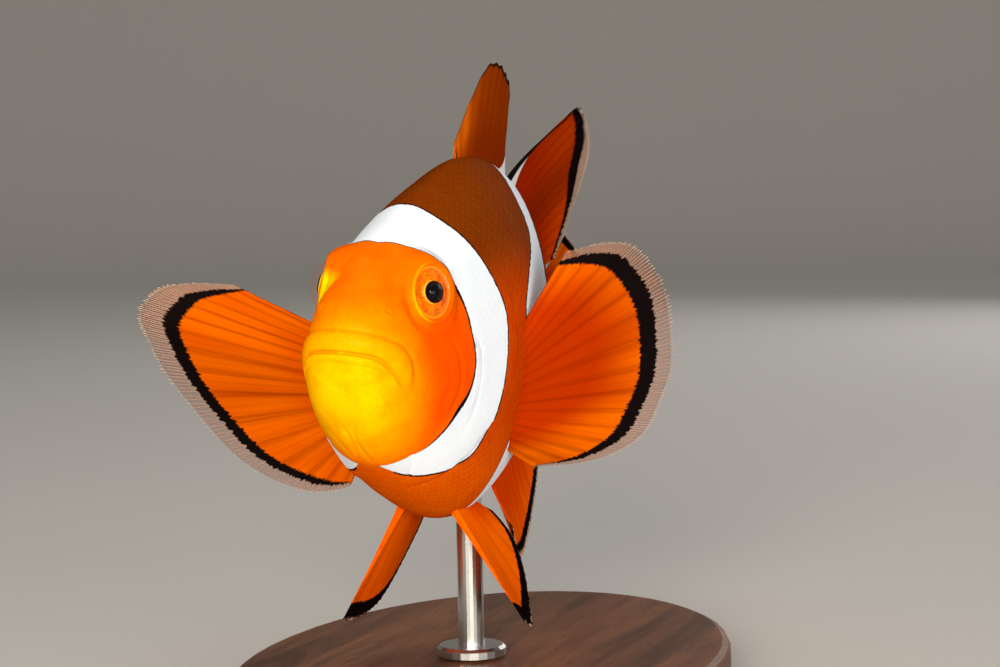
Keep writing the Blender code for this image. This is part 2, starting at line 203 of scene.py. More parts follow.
def new_group(
    name: str, inputs: dict[str, str], output: str
) -> tuple[bpy.types.NodeTree, bpy.types.NodeOutputs]:
    """Starts a group of geometry nodes.

    Args:
        name: The group's name.
        inputs: The kind of each input, such as Float, by the input's name.
        output: The name of the geometry that it gives.

    Returns:
        The group, and its inputs as sockets to link from.
    """
    made = bpy.data.node_groups.new(name, "GeometryNodeTree")
    for word, kind in inputs.items():
        made.interface.new_socket(word, in_out="INPUT", socket_type="NodeSocket" + kind)
    made.interface.new_socket(output, in_out="OUTPUT", socket_type="NodeSocketGeometry")
    return made, add(made, "NodeGroupInput").outputs


def link_in(name: str, mesh: bpy.types.Mesh) -> bpy.types.Object:
    """Puts a mesh in the scene as an object at the origin.

    Args:
        name: The object's name.
        mesh: Its mesh.

    Returns:
        The object.
    """
    made = bpy.data.objects.new(name, mesh)
    bpy.context.scene.collection.objects.link(made)
    return made


def mesh_from(name: str, points: Array, faces: list, edges: list | None = None) -> bpy.types.Mesh:
    """Makes a smooth-shaded mesh.

    Args:
        name: The mesh's name.
        points: One row for each vertex, in metres.
        faces: Vertex numbers of each face, anticlockwise from outside.
        edges: Vertex numbers of loose edges.

    Returns:
        The mesh.
    """
    mesh = bpy.data.meshes.new(name)
    mesh.from_pydata(points.tolist(), edges or [], faces)
    mesh.shade_smooth()
    mesh.update()
    return mesh


def store(mesh: bpy.types.Mesh, name: str, values: Array, kind: str = "FLOAT") -> None:
    """Stores one value for each vertex of a mesh.

    Args:
        mesh: The mesh.
        name: The attribute's name.
        values: One row for each vertex.
        kind: The attribute's type.
    """
    layer = mesh.attributes.new(name, kind, "POINT")
    word = {"FLOAT": "value", "FLOAT_VECTOR": "vector", "FLOAT_COLOR": "color"}[kind]
    layer.data.foreach_set(word, np.ascontiguousarray(values, np.float32).ravel())


def ring_quads(rings: int, count: int) -> Array:
    """Gives the faces between closed rings of points.

    Args:
        rings: How many rings there are.
        count: How many points each has.

    Returns:
        Vertex numbers, one row for each face: along a ring, up to the next one and back along it.
    """
    ring = np.arange(count)
    after = np.roll(ring, -1)
    first = np.arange(rings - 1)[:, None] * count
    quads = np.stack([first + ring, first + after, first + after + count, first + ring + count], -1)
    return quads.reshape(-1, 4)


def corner_vertices(mesh: bpy.types.Mesh) -> Array:
    """Reads which vertex stands at each corner of a mesh's faces.

    Args:
        mesh: The mesh.

    Returns:
        Vertex numbers, in the order of the corners.
    """
    numbers = np.empty(len(mesh.loops), np.int32)
    mesh.loops.foreach_get("vertex_index", numbers)
    return numbers


def map_bake(mesh: bpy.types.Mesh, places: Array) -> None:
    """Stores the map that colours are baked through, one row for each corner."""
    mesh.uv_layers.new(name=BAKE_MAP).data.foreach_set("uv", places.astype(np.float32).ravel())


@dataclass(frozen=True)
class Stance:
    """How the straight fish at rest is laid in its pose."""

    pitch_deg: float = 4.0
    bank_deg: float = 4.0
    mouth_height: float = 0.0335
    base_station: float = 0.50
    headings: Knots = ((0.30, 0.0), (0.50, 4.0), (0.75, 10.0), (1.00, 5.0), (1.25, -5.0), (1.40, -8.0))
    steps: int = 3000

    def path(self) -> tuple[Array, Array, Array, Array]:
        """Adds up the headings along the body.

        Returns:
            Stations, heading angles, and how far aside and back the backbone has come at each.
        """
        stations = np.linspace(self.headings[0][0], self.headings[-1][0], self.steps)
        angles = np.radians(through(self.headings, stations))
        middle = np.radians(through(self.headings, (stations[1:] + stations[:-1]) / 2))
        step = np.diff(stations)
        aside = np.concatenate([[0.0], np.cumsum(-np.sin(middle) * step)])
        back = stations[0] + np.concatenate([[0.0], np.cumsum(np.cos(middle) * step)])
        return stations, angles, aside, back

    def bend(self, points: Array) -> Array:
        """Lays points of the straight body along the headings.

        Args:
            points: Points in shares of the standard length.

        Returns:
            The same points on the bent body, in shares.
        """
        stations, angles, aside, back = self.path()
        along = points[..., 1]
        before = along <= stations[0]
        turn = np.where(before, 0.0, np.interp(along, stations, angles))
        side = np.where(before, 0.0, np.interp(along, stations, aside))
        rear = np.where(before, along, np.interp(along, stations, back))
        across = points[..., 0]
        return np.stack([side + across * np.cos(turn), rear + across * np.sin(turn), points[..., 2]], -1)

    def matrix(self) -> Matrix:
        """Works out the bank and pitch, and the lift over the stand.

        Returns:
            The move from the bent body to the row frame, in metres.
        """
        pivot = Vector((0.0, self.base_station * STANDARD_LENGTH, 0.0))
        return (
            Matrix.Translation((0.0, 0.0, self.mouth_height))
            @ Matrix.Rotation(math.radians(-self.pitch_deg), 4, "X")
            @ Matrix.Rotation(math.radians(self.bank_deg), 4, "Y")
            @ Matrix.Translation(-pivot)
        )

    def lay(self, points: Array) -> Array:
        """Takes points from the straight fish at rest, in shares, to the row frame, in metres."""
        turned = np.array(self.matrix())
        return self.bend(points) * STANDARD_LENGTH @ turned[:3, :3].T + turned[:3, 3]


@dataclass(frozen=True)
class Body:
    """The smooth form of the body, in shares of the standard length.

    A section gives the station, back, belly, half width, level of the widest place, and the squareness of
    the upper and the lower half, where 2 is an ellipse. A turn is the angle from the back over the left side.
    """

    sections: tuple[tuple[float, ...], ...] = (
        (0.000, 0.000, 0.000, 0.000, 0.000, 2.3, 2.2),
        (0.010, 0.041, -0.045, 0.036, -0.006, 2.3, 2.2),
        (0.030, 0.069, -0.073, 0.052, -0.008, 2.3, 2.2),
        (0.080, 0.116, -0.111, 0.069, -0.010, 2.2, 2.2),
        (0.150, 0.159, -0.146, 0.087, -0.008, 1.95, 2.2),
        (0.250, 0.205, -0.184, 0.101, -0.002, 1.72, 2.1),
        (0.350, 0.236, -0.208, 0.105, 0.000, 1.65, 2.0),
        (0.450, 0.242, -0.202, 0.098, 0.002, 1.70, 1.78),
        (0.600, 0.212, -0.166, 0.077, 0.004, 1.8, 1.68),
        (0.750, 0.148, -0.124, 0.052, 0.004, 1.8, 1.8),
        (0.880, 0.092, -0.086, 0.031, 0.002, 2.0, 2.0),
        (0.950, 0.082, -0.078, 0.021, 0.002, 2.0, 2.0),
        (1.000, 0.086, -0.083, 0.013, 0.002, 2.0, 2.0),
        (1.040, 0.070, -0.068, 0.005, 0.001, 2.0, 2.0),
    )
    gill_line: Knots = ((-1.0, 0.175), (-0.6, 0.235), (0.0, 0.318), (0.6, 0.295), (1.0, 0.262))
    snout_tip: float = 0.000002
    end: float = 1.04

    def section(self, station: Array) -> list[Array]:
        """Reads the six measures of the section at each station, smooth in the station's root."""
        root = np.sqrt(np.maximum(station, 0.0))
        return [through([(math.sqrt(row[0]), row[i]) for row in self.sections], root) for i in range(1, 7)]

    def at(self, station: Array, turn: Array) -> Array:
        """Gives points of the smooth surface.

        Args:
            station: How far behind the snout each is.
            turn: Its angle from the back over the left side, in radians.

        Returns:
            Points in shares of the standard length.
        """
        back, belly, half_width, level, upper, lower = self.section(station)
        up, out = np.cos(turn), np.sin(turn)
        power = np.where(up > 0, 2.0 / upper, 2.0 / lower)
        half_height = np.where(up > 0, back - level, level - belly)
        across = np.sign(out) * half_width * np.abs(out) ** power
        height = level + np.sign(up) * half_height * np.abs(up) ** power
        return np.stack(np.broadcast_arrays(across, station, height), -1)

    def gill(self, turn: Array) -> Array:
        """The station of the gill opening at each turn."""
        return through(self.gill_line, np.cos(turn))

    def freed(self, turn: Array) -> Array:
        """How far the gill cover stands free at each turn: not over the nape, nor under the throat."""
        return smooth(0.10, 0.55, np.abs(np.sin(turn))) * (1.0 - smooth(0.30, 0.60, np.cos(turn)))


@dataclass(frozen=True)
class Crease:
    """A fold, groove or ridge in the skin of both sides, through points at rest on the left side.

    A depth under 0 is a ridge. A crease that starts on the midline doesn't fade there.
    """

    points: tuple[Triple, ...]
    depth: float
    width: float
    from_midline: bool = False
    # The shares of its length over which it grows in and past which it fades out.
    grown: float = 0.25
    fading: float = 0.60
    steps: int = 40
    # How many widths away it still moves the skin.
    spread: float = 4.0

    def relief(self, points: Array) -> Array:
        """How far the crease moves each point outward.

        Args:
            points: Points of the surface at rest, one row each.

        Returns:
            The move of each point, in shares.
        """
        line = curve(self.points, self.steps)
        mirrored = np.abs(points * (1.0, 0.0, 0.0)) + points * (0.0, 1.0, 1.0)
        moved = np.zeros(len(points))
        low, high = line.min(0) - self.spread * self.width, line.max(0) + self.spread * self.width
        near = np.flatnonzero(np.all((mirrored > low) & (mirrored < high), axis=1))
        if not near.size:
            return moved
        best = np.full(near.size, np.inf)
        along = np.zeros(near.size)
        for i in range(len(line) - 1):
            span = line[i + 1] - line[i]
            t = np.clip((mirrored[near] - line[i]) @ span / max(span @ span, 1e-12), 0.0, 1.0)
            away = np.linalg.norm(mirrored[near] - line[i] - t[:, None] * span, axis=1)
            closer = away < best
            best = np.where(closer, away, best)
            along = np.where(closer, (i + t) / (len(line) - 1), along)
        fade = 1.0 - smooth(self.fading, 1.0, along)
        if not self.from_midline:
            fade = fade * smooth(0.0, self.grown, along)
        moved[near] = -self.depth * np.exp(-((best / self.width) ** 2)) * fade
        return moved


@dataclass(frozen=True)
class EyeSeat:
    """Where an eye sits and which way it looks, for the left side at rest."""

    centre: Triple = (0.0470, 0.114, 0.071)
    radius: float = 0.034
    forward_deg: float = 24.0
    up_deg: float = 8.0

    def frame(self, side: Side) -> tuple[Array, Array]:
        """Places the eye of one side.

        Args:
            side: The side.

        Returns:
            Its centre, in shares of the standard length, and its unit axis, out of the head.
        """
        forward, up = math.radians(self.forward_deg), math.radians(self.up_deg)
        axis = np.array([
            side.value * math.cos(forward) * math.cos(up),
            -math.sin(forward) * math.cos(up),
            math.sin(up),
        ])
        return np.array([side.value * self.centre[0], self.centre[1], self.centre[2]]), axis


@dataclass(frozen=True)
class HeadRelief:
    """The lips, folds, nostrils, orbits and gill covers that stand out of the smooth form."""

    body: Body
    seat: EyeSeat
    # Heights of the closed mouth and of the fold over the upper lip, by angles round the snout from ahead.
    slit: Knots = ((-19, 0.0015), (0, 0.0026), (19, 0.0015), (35, -0.002), (49, -0.011), (65, -0.024),
                   (78, -0.033), (90, -0.039))
    fold: Knots = ((-32, 0.026), (0, 0.029), (32, 0.026), (61, 0.017), (75, 0.008), (84, -0.006),
                   (90, -0.030))
    # Those angles are taken round a point this far behind the snout.
    plan_core: float = 0.070
    upper_lip: float = 0.0042
    upper_lip_end: tuple[float, float] = (76.0, 92.0)
    lower_lip: float = 0.0024
    lower_lip_height: float = 0.012
    lower_lip_end: tuple[float, float] = (52.0, 74.0)
    # Height of the skin along the eye's axis, by distance from the axis: it dips under the ball, rises over
    # the rim of the orbit and falls to the skin round it.
    orbit: Knots = (
        (0.000, 0.010), (0.0255, 0.0120), (0.0285, 0.0172), (0.0305, 0.0206), (0.0328, 0.0225),
        (0.0348, 0.0220), (0.0366, 0.0208), (0.0384, 0.0195), (0.0410, 0.0184), (0.0600, 0.0178),
    )
    orbit_reach: tuple[float, float] = (0.0370, 0.0570)
    # How much higher the rim is in front.
    orbit_front: float = 0.0022
    nostril: Triple = (0.040, 0.036, 0.050)
    # The nostril's raised rim, as its height, radius and half width, and its pit, as its depth and half
    # width.
    nostril_rim: Triple = (0.0009, 0.0055, 0.0018)
    nostril_pit: tuple[float, float] = (0.0022, 0.0028)
    nostril_squash: float = 1.35
    creases: tuple[Crease, ...] = (
        # The closed mouth, the fold over the upper lip, and the end of the upper jaw behind the corner.
        Crease(((-0.023, 0.004, 0.0015), (0, 0, 0.0026), (0.023, 0.004, 0.0015), (0.040, 0.014, -0.002),
                (0.050, 0.027, -0.011), (0.057, 0.043, -0.024), (0.061, 0.057, -0.034),
                (0.063, 0.066, -0.042)), 0.0046, 0.0017, True),
        Crease(((-0.018, 0.006, 0.028), (0, 0.004, 0.029), (0.018, 0.006, 0.028), (0.036, 0.014, 0.025),
                (0.055, 0.038, 0.017), (0.064, 0.060, 0.004), (0.068, 0.070, -0.013), (0.068, 0.071, -0.028),
                (0.063, 0.062, -0.042)), 0.0018, 0.0036, True),
        # Faint lines of the cheek and the edge of the preopercle.
        Crease(((0.074, 0.105, 0.030), (0.086, 0.150, 0.012), (0.090, 0.165, -0.030), (0.080, 0.145, -0.075),
                (0.060, 0.110, -0.100)), 0.0014, 0.0042),
        Crease(((0.078, 0.112, 0.016), (0.084, 0.136, -0.005), (0.084, 0.140, -0.035),
                (0.075, 0.120, -0.068)), 0.0007, 0.0026),
        Crease(((0.085, 0.160, 0.050), (0.097, 0.205, 0.020), (0.099, 0.215, -0.035), (0.088, 0.195, -0.090),
                (0.060, 0.150, -0.130)), 0.0012, 0.0045),
        # Folds of the throat.
        Crease(((0.010, 0.030, -0.073), (0.003, 0.057, -0.096), (0.005, 0.086, -0.114),
                (0.012, 0.112, -0.128)), 0.0020, 0.0030),
        Crease(((0.030, 0.055, -0.089), (0.019, 0.078, -0.108), (0.013, 0.104, -0.124)), 0.0012, 0.0034),
        Crease(((0.045, 0.075, -0.090), (0.050, 0.115, -0.110), (0.040, 0.150, -0.135),
                (0.015, 0.170, -0.150)), 0.0012, 0.0040),
    )
    # The gill cover rises towards its edge, steps down behind it and leaves a groove, by distances from the
    # gill line. The groove is a depth, a place and a half width.
    cover_rise: float = 0.0024
    cover_slope: tuple[float, float] = (-0.085, -0.004)
    cover_step: tuple[float, float] = (-0.0050, 0.0060)
    cover_groove: Triple = (0.0006, 0.006, 0.005)

    def offsets(self, station: Array, turn: Array, rest: Array) -> Array:
        """How far the relief moves each point along its own normal.

        Args:
            station: The stations of the points.
            turn: Their turns.
            rest: The points on the smooth form.

        Returns:
            Moves in shares of the standard length.
        """
        shape = station.shape
        flat = rest.reshape(-1, 3)
        moved = sum(crease.relief(flat) for crease in self.creases).reshape(shape)
        across, along, height = (rest[..., i] for i in range(3))
        plan = np.degrees(np.arctan2(np.abs(across), self.plan_core - along))
        held = np.minimum(plan, self.upper_lip_end[1])
        slit, fold = through(self.slit, held), through(self.fold, held)
        share = np.clip((height - slit) / np.maximum(fold - slit, 0.004), 0.0, 1.0)
        moved += self.upper_lip * np.sin(np.pi * share) ** 0.8 * (1.0 - smooth(*self.upper_lip_end, plan))
        share = np.clip((slit - height) / self.lower_lip_height, 0.0, 1.0)
        moved += self.lower_lip * np.sin(np.pi * share) * (1.0 - smooth(*self.lower_lip_end, plan))
        sided = np.stack([np.abs(across), along, height], -1) - np.array(self.nostril)
        away = np.linalg.norm(sided * np.array([1.0, 1.0, self.nostril_squash]), axis=-1)
        rim, pit = self.nostril_rim, self.nostril_pit
        moved += rim[0] * bump(away, *rim[1:]) - pit[0] * bump(away, 0.0, pit[1])
        behind = station - self.body.gill(turn)
        cover = smooth(*self.cover_slope, behind) * (1.0 - smooth(*self.cover_step, behind))
        groove = self.cover_groove[0] * bump(behind, *self.cover_groove[1:])
        return moved + (self.cover_rise * cover - groove) * self.body.freed(turn)

    def seat_eyes(self, rest: Array) -> Array:
        """Raises the rims of the orbits and sinks the skin under the eyes.

        Args:
            rest: Points of the surface at rest, after the other relief.

        Returns:
            The moved points.
        """
        moved = rest.copy()
        for side in Side:
            centre, axis = self.seat.frame(side)
            offset = moved - centre
            height = offset @ axis
            away = np.linalg.norm(offset - height[..., None] * axis, axis=-1)
            ahead = (height * axis[1] - offset[..., 1]) / np.maximum(away, 1e-6)
            rim = self.orbit_front * smooth(-0.2, 0.9, ahead) * bump(away, 0.0335, 0.0045)
            share = (1.0 - smooth(*self.orbit_reach, away)) * (height > -0.02)
            moved += (share * (through(self.orbit, np.minimum(away, 0.06)) + rim - height))[..., None] * axis
        return moved


@dataclass(frozen=True)
class Band:
    """One white band, by the stations of its front and rear edges at turns from the back, in degrees."""

    front: Knots
    rear: Knots
    last_turn: float = 180.0
    line_mm: float = 0.22
    # How much further ahead the front edge is on the right side.
    right_ahead: Knots = ((0, 0.0), (180, 0.0))

    def edge(self, knots: Knots, turn: Array) -> Array:
        """The station of an edge at each turn, in degrees, alike on both sides."""
        return through(knots, np.minimum(np.abs(turn), self.last_turn))

    def start(self, turn: Array) -> Array:
        """The station of the front edge at each turn, in degrees and under 0 on the right side."""
        return self.edge(self.front, turn) - (turn < 0) * self.edge(self.right_ahead, turn)

    def loops(self, body: Body, side: Side, count: int = 260) -> Array:
        """Runs along both edges of the band on one side.

        Args:
            body: The form that the band goes round.
            side: The side.
            count: How many points each edge has.

        Returns:
            The points at rest, the front edge's and then the rear edge's.
        """
        turns = np.linspace(0.0, self.last_turn, count)
        edges = (self.start(side.value * turns), self.edge(self.rear, turns))
        return np.concatenate([body.at(edge, side.value * np.radians(turns)) for edge in edges])

    def holds(self, station: Array, turn: Array) -> Array:
        """True at each point inside the band, by its turn in degrees, under 0 on the right side."""
        between = (station > self.start(turn)) & (station < self.edge(self.rear, turn))
        return between & (np.abs(turn) < self.last_turn)


@dataclass(frozen=True)
class Markings:
    """The colours of the body: three white bands with black edges on an orange ground."""

    body: Body
    seat: EyeSeat
    bands: tuple[Band, ...] = (
        Band(
            front=((0, 0.095), (20, 0.106), (40, 0.127), (54, 0.157), (66, 0.175), (78, 0.188), (90, 0.197),
                   (101, 0.190), (113, 0.167), (132, 0.140), (150, 0.120), (172, 0.114)),
            rear=((0, 0.176), (20, 0.183), (33, 0.200), (60, 0.263), (72, 0.283), (85, 0.283), (101, 0.278),
                  (114, 0.266), (128, 0.246), (137, 0.215), (146, 0.184), (158, 0.154), (172, 0.116)),
            last_turn=172.0,
            right_ahead=((0, 0.0), (92, 0.0), (112, 0.014), (132, 0.024), (150, 0.012), (172, 0.0)),
        ),
        Band(
            front=((0, 0.476), (20, 0.462), (36, 0.464), (46, 0.472), (54, 0.450), (62, 0.405), (72, 0.368),
                   (90, 0.362), (120, 0.360), (150, 0.362), (180, 0.372)),
            rear=((0, 0.548), (20, 0.546), (40, 0.545), (60, 0.552), (80, 0.545), (110, 0.522), (140, 0.485),
                  (180, 0.455)),
            line_mm=0.26,
        ),
        Band(
            front=((0, 0.905), (60, 0.925), (90, 0.930), (120, 0.925), (180, 0.905)),
            rear=((0, 0.980), (60, 0.992), (90, 0.996), (120, 0.992), (180, 0.980)),
            line_mm=0.36,
        ),
    )
    # Where the head band's front edge is blacker, as turns and half spreads in degrees.
    heavy: Knots = ((57.0, 7.0), (107.0, 7.0))
    heavy_mm: float = 0.30
    # How much thinner that edge is over the forehead and under the chin, and the middles of both colours.
    faint_mm: float = 0.13
    cheek_centre: tuple[float, float] = (0.128, -0.012)
    chin_centre: tuple[float, float] = (0.015, -0.062)

    def fields(self, station: Array, turn: Array) -> tuple[Array, Array]:
        """Measures the bands.

        Args:
            station: Stations of points on the smooth form, as a flat array.
            turn: Their turns in radians.

        Returns:
            How far each point is inside a band, in millimetres and under 0 outside, and the width of the
            nearest black edge.
        """
        turn_deg = wrapped_deg(turn)
        rest = self.body.at(station, turn)
        inside = np.full(station.shape, -1e3)
        line = np.zeros(station.shape)
        for band in self.bands:
            loops = np.concatenate([band.loops(self.body, side) for side in Side])
            tree = KDTree(len(loops))
            for i, point in enumerate(loops):
                tree.insert(point, i)
            tree.balance()
            away = np.array([tree.find(point)[2] for point in rest]) * MM_PER_SHARE
            signed = np.where(band.holds(station, turn_deg), away, -away)
            nearer = signed > inside
            inside = np.where(nearer, signed, inside)
            line = np.where(nearer, band.line_mm, line)
        ahead = station < self.bands[0].start(turn_deg) + 0.02
        turn_deg = np.abs(turn_deg)
        faint = 1.0 - smooth(38.0, 56.0, turn_deg) + 1.6 * smooth(122.0, 142.0, turn_deg)
        line = line - ahead * self.faint_mm * faint
        for place, spread in self.heavy:
            line = line + ahead * self.heavy_mm * bump(turn_deg, place, spread)
        return inside, line

    def ground(self, station: Array, turn: Array, rest: Array) -> Array:
        """The orange ground at each point, from the yellow chin to the back browned by painted shade.

        Args:
            station: Stations of the points.
            turn: Their turns.
            rest: The points on the smooth form.

        Returns:
            Linear colours, one row each.
        """
        across, height = np.abs(rest[..., 0]), rest[..., 2]
        back, belly, level = (self.body.section(station)[i] for i in (0, 1, 3))
        rise = np.where(height > level, (height - level) / np.maximum(back - level, 1e-4),
                        (height - level) / np.maximum(level - belly, 1e-4))
        colour = np.broadcast_to(np.array(linear("F87000")), station.shape + (4,)).copy()

        def wash(code: str, share: Array) -> None:
            """Lays a colour over what is there."""
            colour[...] += (np.array(linear(code)) - colour) * np.clip(share, 0.0, 1.0)[..., None]

        head_band = self.bands[0]
        behind = smooth(-0.012, 0.006, station - head_band.edge(head_band.rear, wrapped_deg(turn)))
        wash("EE5E00", smooth(0.08, 0.20, station) * (1.0 - behind))
        # Behind the head band the orange is deeper and redder, lighter towards the belly and darker towards
        # the tail: partly the fish's own deeper orange, partly painted shade where the light falls off to the
        # rear.
        wash("CC4602", behind)
        wash("E86002", behind * smooth(-0.30, -0.85, rise))
        # The brown over the back is painted shade on the top of the body.
        wash("7E3604", behind * smooth(0.22, 0.66, rise))
        wash("B04004", behind * smooth(0.72, 0.95, station) * 0.7)
        wash("F06400", bump(across, 0.036, 0.020) * bump(height, 0.098, 0.030) * (1.0 - behind) * 0.5)
        cheek = np.hypot(station - self.cheek_centre[0], height - self.cheek_centre[1])
        wash("F25000", (1.0 - smooth(0.042, 0.100, cheek)) * smooth(0.056, 0.074, across) * 0.95)
        # The yellow of the chin is partly the fish's own colour and partly a painted highlight where the face
        # is lit brightest.
        chin = np.hypot(across, np.hypot(station - self.chin_centre[0], height - self.chin_centre[1]))
        wash("FF9E00", 1.0 - smooth(0.066, 0.140, chin))
        wash("FFB800", 1.0 - smooth(0.030, 0.100, chin))
        # The rims of the orbits are yellow in front, and the right one's slope too: painted highlights where
        # they face the light. A deeper orange line follows the front of the right rim's crest.
        for side in Side:
            centre, axis = self.seat.frame(side)
            offset = rest - centre
            over = offset @ axis
            offset = offset - over[..., None] * axis
            away = np.linalg.norm(offset, axis=-1)
            front = smooth(-0.1, 0.7, -offset[..., 1] / np.maximum(away, 1e-6)) * (over > -0.02)
            if side is Side.LEFT:
                # Painted highlight along the front of the left rim.
                wash("FFC800", 0.9 * front * bump(away, 0.0334, 0.0012))
                continue
            above = offset[..., 2]
            level = (1.0 - smooth(0.004, 0.022, above)) * (1.0 - smooth(0.016, 0.034, -above))
            # Painted highlight over the right orbit's front slope.
            wash("FFDC00", front * level * (1.0 - smooth(0.0110, 0.0220, np.abs(away - 0.0465))))
            wash("E84C00", 0.8 * front * bump(away, 0.0328, 0.0020))
        return colour


@dataclass(frozen=True)
class SkinFinish:
    """Fish skin cast in pigmented resin: almost matt under a trace of clear coat, and faintly grained.

    The white of the bands is guanine, a cool chalky white, and the black edges are matt.
    """

    name: str = "fish_skin_satin"
    white: str = "EEF5FF"
    chalk: str = "E2EAF4"
    black: str = "120C0A"
    deepen: str = "F8D8A0"
    roughness: float = 0.50
    coat: float = 0.015
    grain_mm: float = 0.16
    grain_depth: float = 0.006 * MM
    mottle_mm: float = 2.2
    rim_shade: float = 0.82
    edge_mm: float = 0.05
    ragged_mm: float = 0.10

    def make(self) -> bpy.types.Material:
        """Builds the material, which reads the band, line and ground attributes.

        Returns:
            The material.
        """
        made, tree, shader = new_finish(self.name)
        place = add(tree, "ShaderNodeTexCoord").outputs["Object"]
        band = add(tree, "ShaderNodeAttribute", attribute_name="band").outputs["Fac"]
        line = add(tree, "ShaderNodeAttribute", attribute_name="line").outputs["Fac"]
        ground = add(tree, "ShaderNodeAttribute", attribute_name="ground")
        mottle = add(tree, "ShaderNodeTexNoise", {"Vector": place, "Scale": 1.0 / (self.mottle_mm * MM),
                                                  "Detail": 4.0, "Roughness": 0.6})
        grain = add(tree, "ShaderNodeTexNoise", {"Vector": place, "Scale": 1.0 / (self.grain_mm * MM),
                                                 "Detail": 3.0, "Roughness": 0.55})
        # Pale patches deepen towards red, and the grain only darkens a little.
        shade = add(tree, "ShaderNodeMapRange", {"Value": mottle, "From Min": 0.40, "From Max": 0.72,
                                                 "To Max": 0.80})
        deeper = add(tree, "ShaderNodeMix", {0: shade, 6: ground, 7: linear(self.deepen)},
                     data_type="RGBA", blend_type="MULTIPLY").outputs[2]
        speck = add(tree, "ShaderNodeMapRange", {"Value": grain, "From Min": 0.3, "From Max": 0.7,
                                                 "To Min": 0.86, "To Max": 1.08})
        # A scale darkens towards its free rim, where the third part of its place comes to 1.
        local = add(tree, "ShaderNodeAttribute", attribute_name="local").outputs["Vector"]
        scale = add(tree, "ShaderNodeSeparateXYZ", {"Vector": local}).outputs["Z"]
        rimmed = add(tree, "ShaderNodeMapRange", {"Value": scale, "From Min": 0.55, "From Max": 1.0,
                                                  "To Min": 1.0, "To Max": self.rim_shade},
                     interpolation_type="SMOOTHSTEP")
        level = add(tree, "ShaderNodeMath", {0: speck, 1: rimmed}, operation="MULTIPLY")
        tinted = add(tree, "ShaderNodeVectorMath", {0: deeper, "Scale": level}, operation="SCALE")
        ragged = add(tree, "ShaderNodeMath", {0: grain, 1: self.ragged_mm, 2: band},
                     operation="MULTIPLY_ADD")
        inside = add(tree, "ShaderNodeMath", {0: ragged, 1: self.ragged_mm / 2}, operation="SUBTRACT")
        white = add(tree, "ShaderNodeMapRange", {"Value": inside, "From Min": 0.0, "From Max": self.edge_mm},
                    interpolation_type="SMOOTHSTEP")
        outer = add(tree, "ShaderNodeMath", {0: inside, 1: line}, operation="ADD")
        black = add(tree, "ShaderNodeMapRange", {"Value": outer, "From Min": -self.edge_mm,
                                                 "From Max": self.edge_mm}, interpolation_type="SMOOTHSTEP")
        edged = add(tree, "ShaderNodeMix", {0: black, 6: tinted, 7: linear(self.black)}, data_type="RGBA")
        chalk = add(tree, "ShaderNodeMix", {0: mottle, 6: linear(self.chalk), 7: linear(self.white)},
                    data_type="RGBA")
        colour = add(tree, "ShaderNodeMix", {0: white, 6: edged.outputs[2], 7: chalk.outputs[2]},
                     data_type="RGBA")
        relief = add(tree, "ShaderNodeBump",
                     {"Strength": 0.6, "Distance": self.grain_depth, "Height": grain})
        feed(tree, shader, {"Base Color": colour.outputs[2], "Normal": relief, "Roughness": self.roughness,
                            "Coat Weight": self.coat, "Coat Roughness": 0.25, "Specular IOR Level": 0.0})
        return made


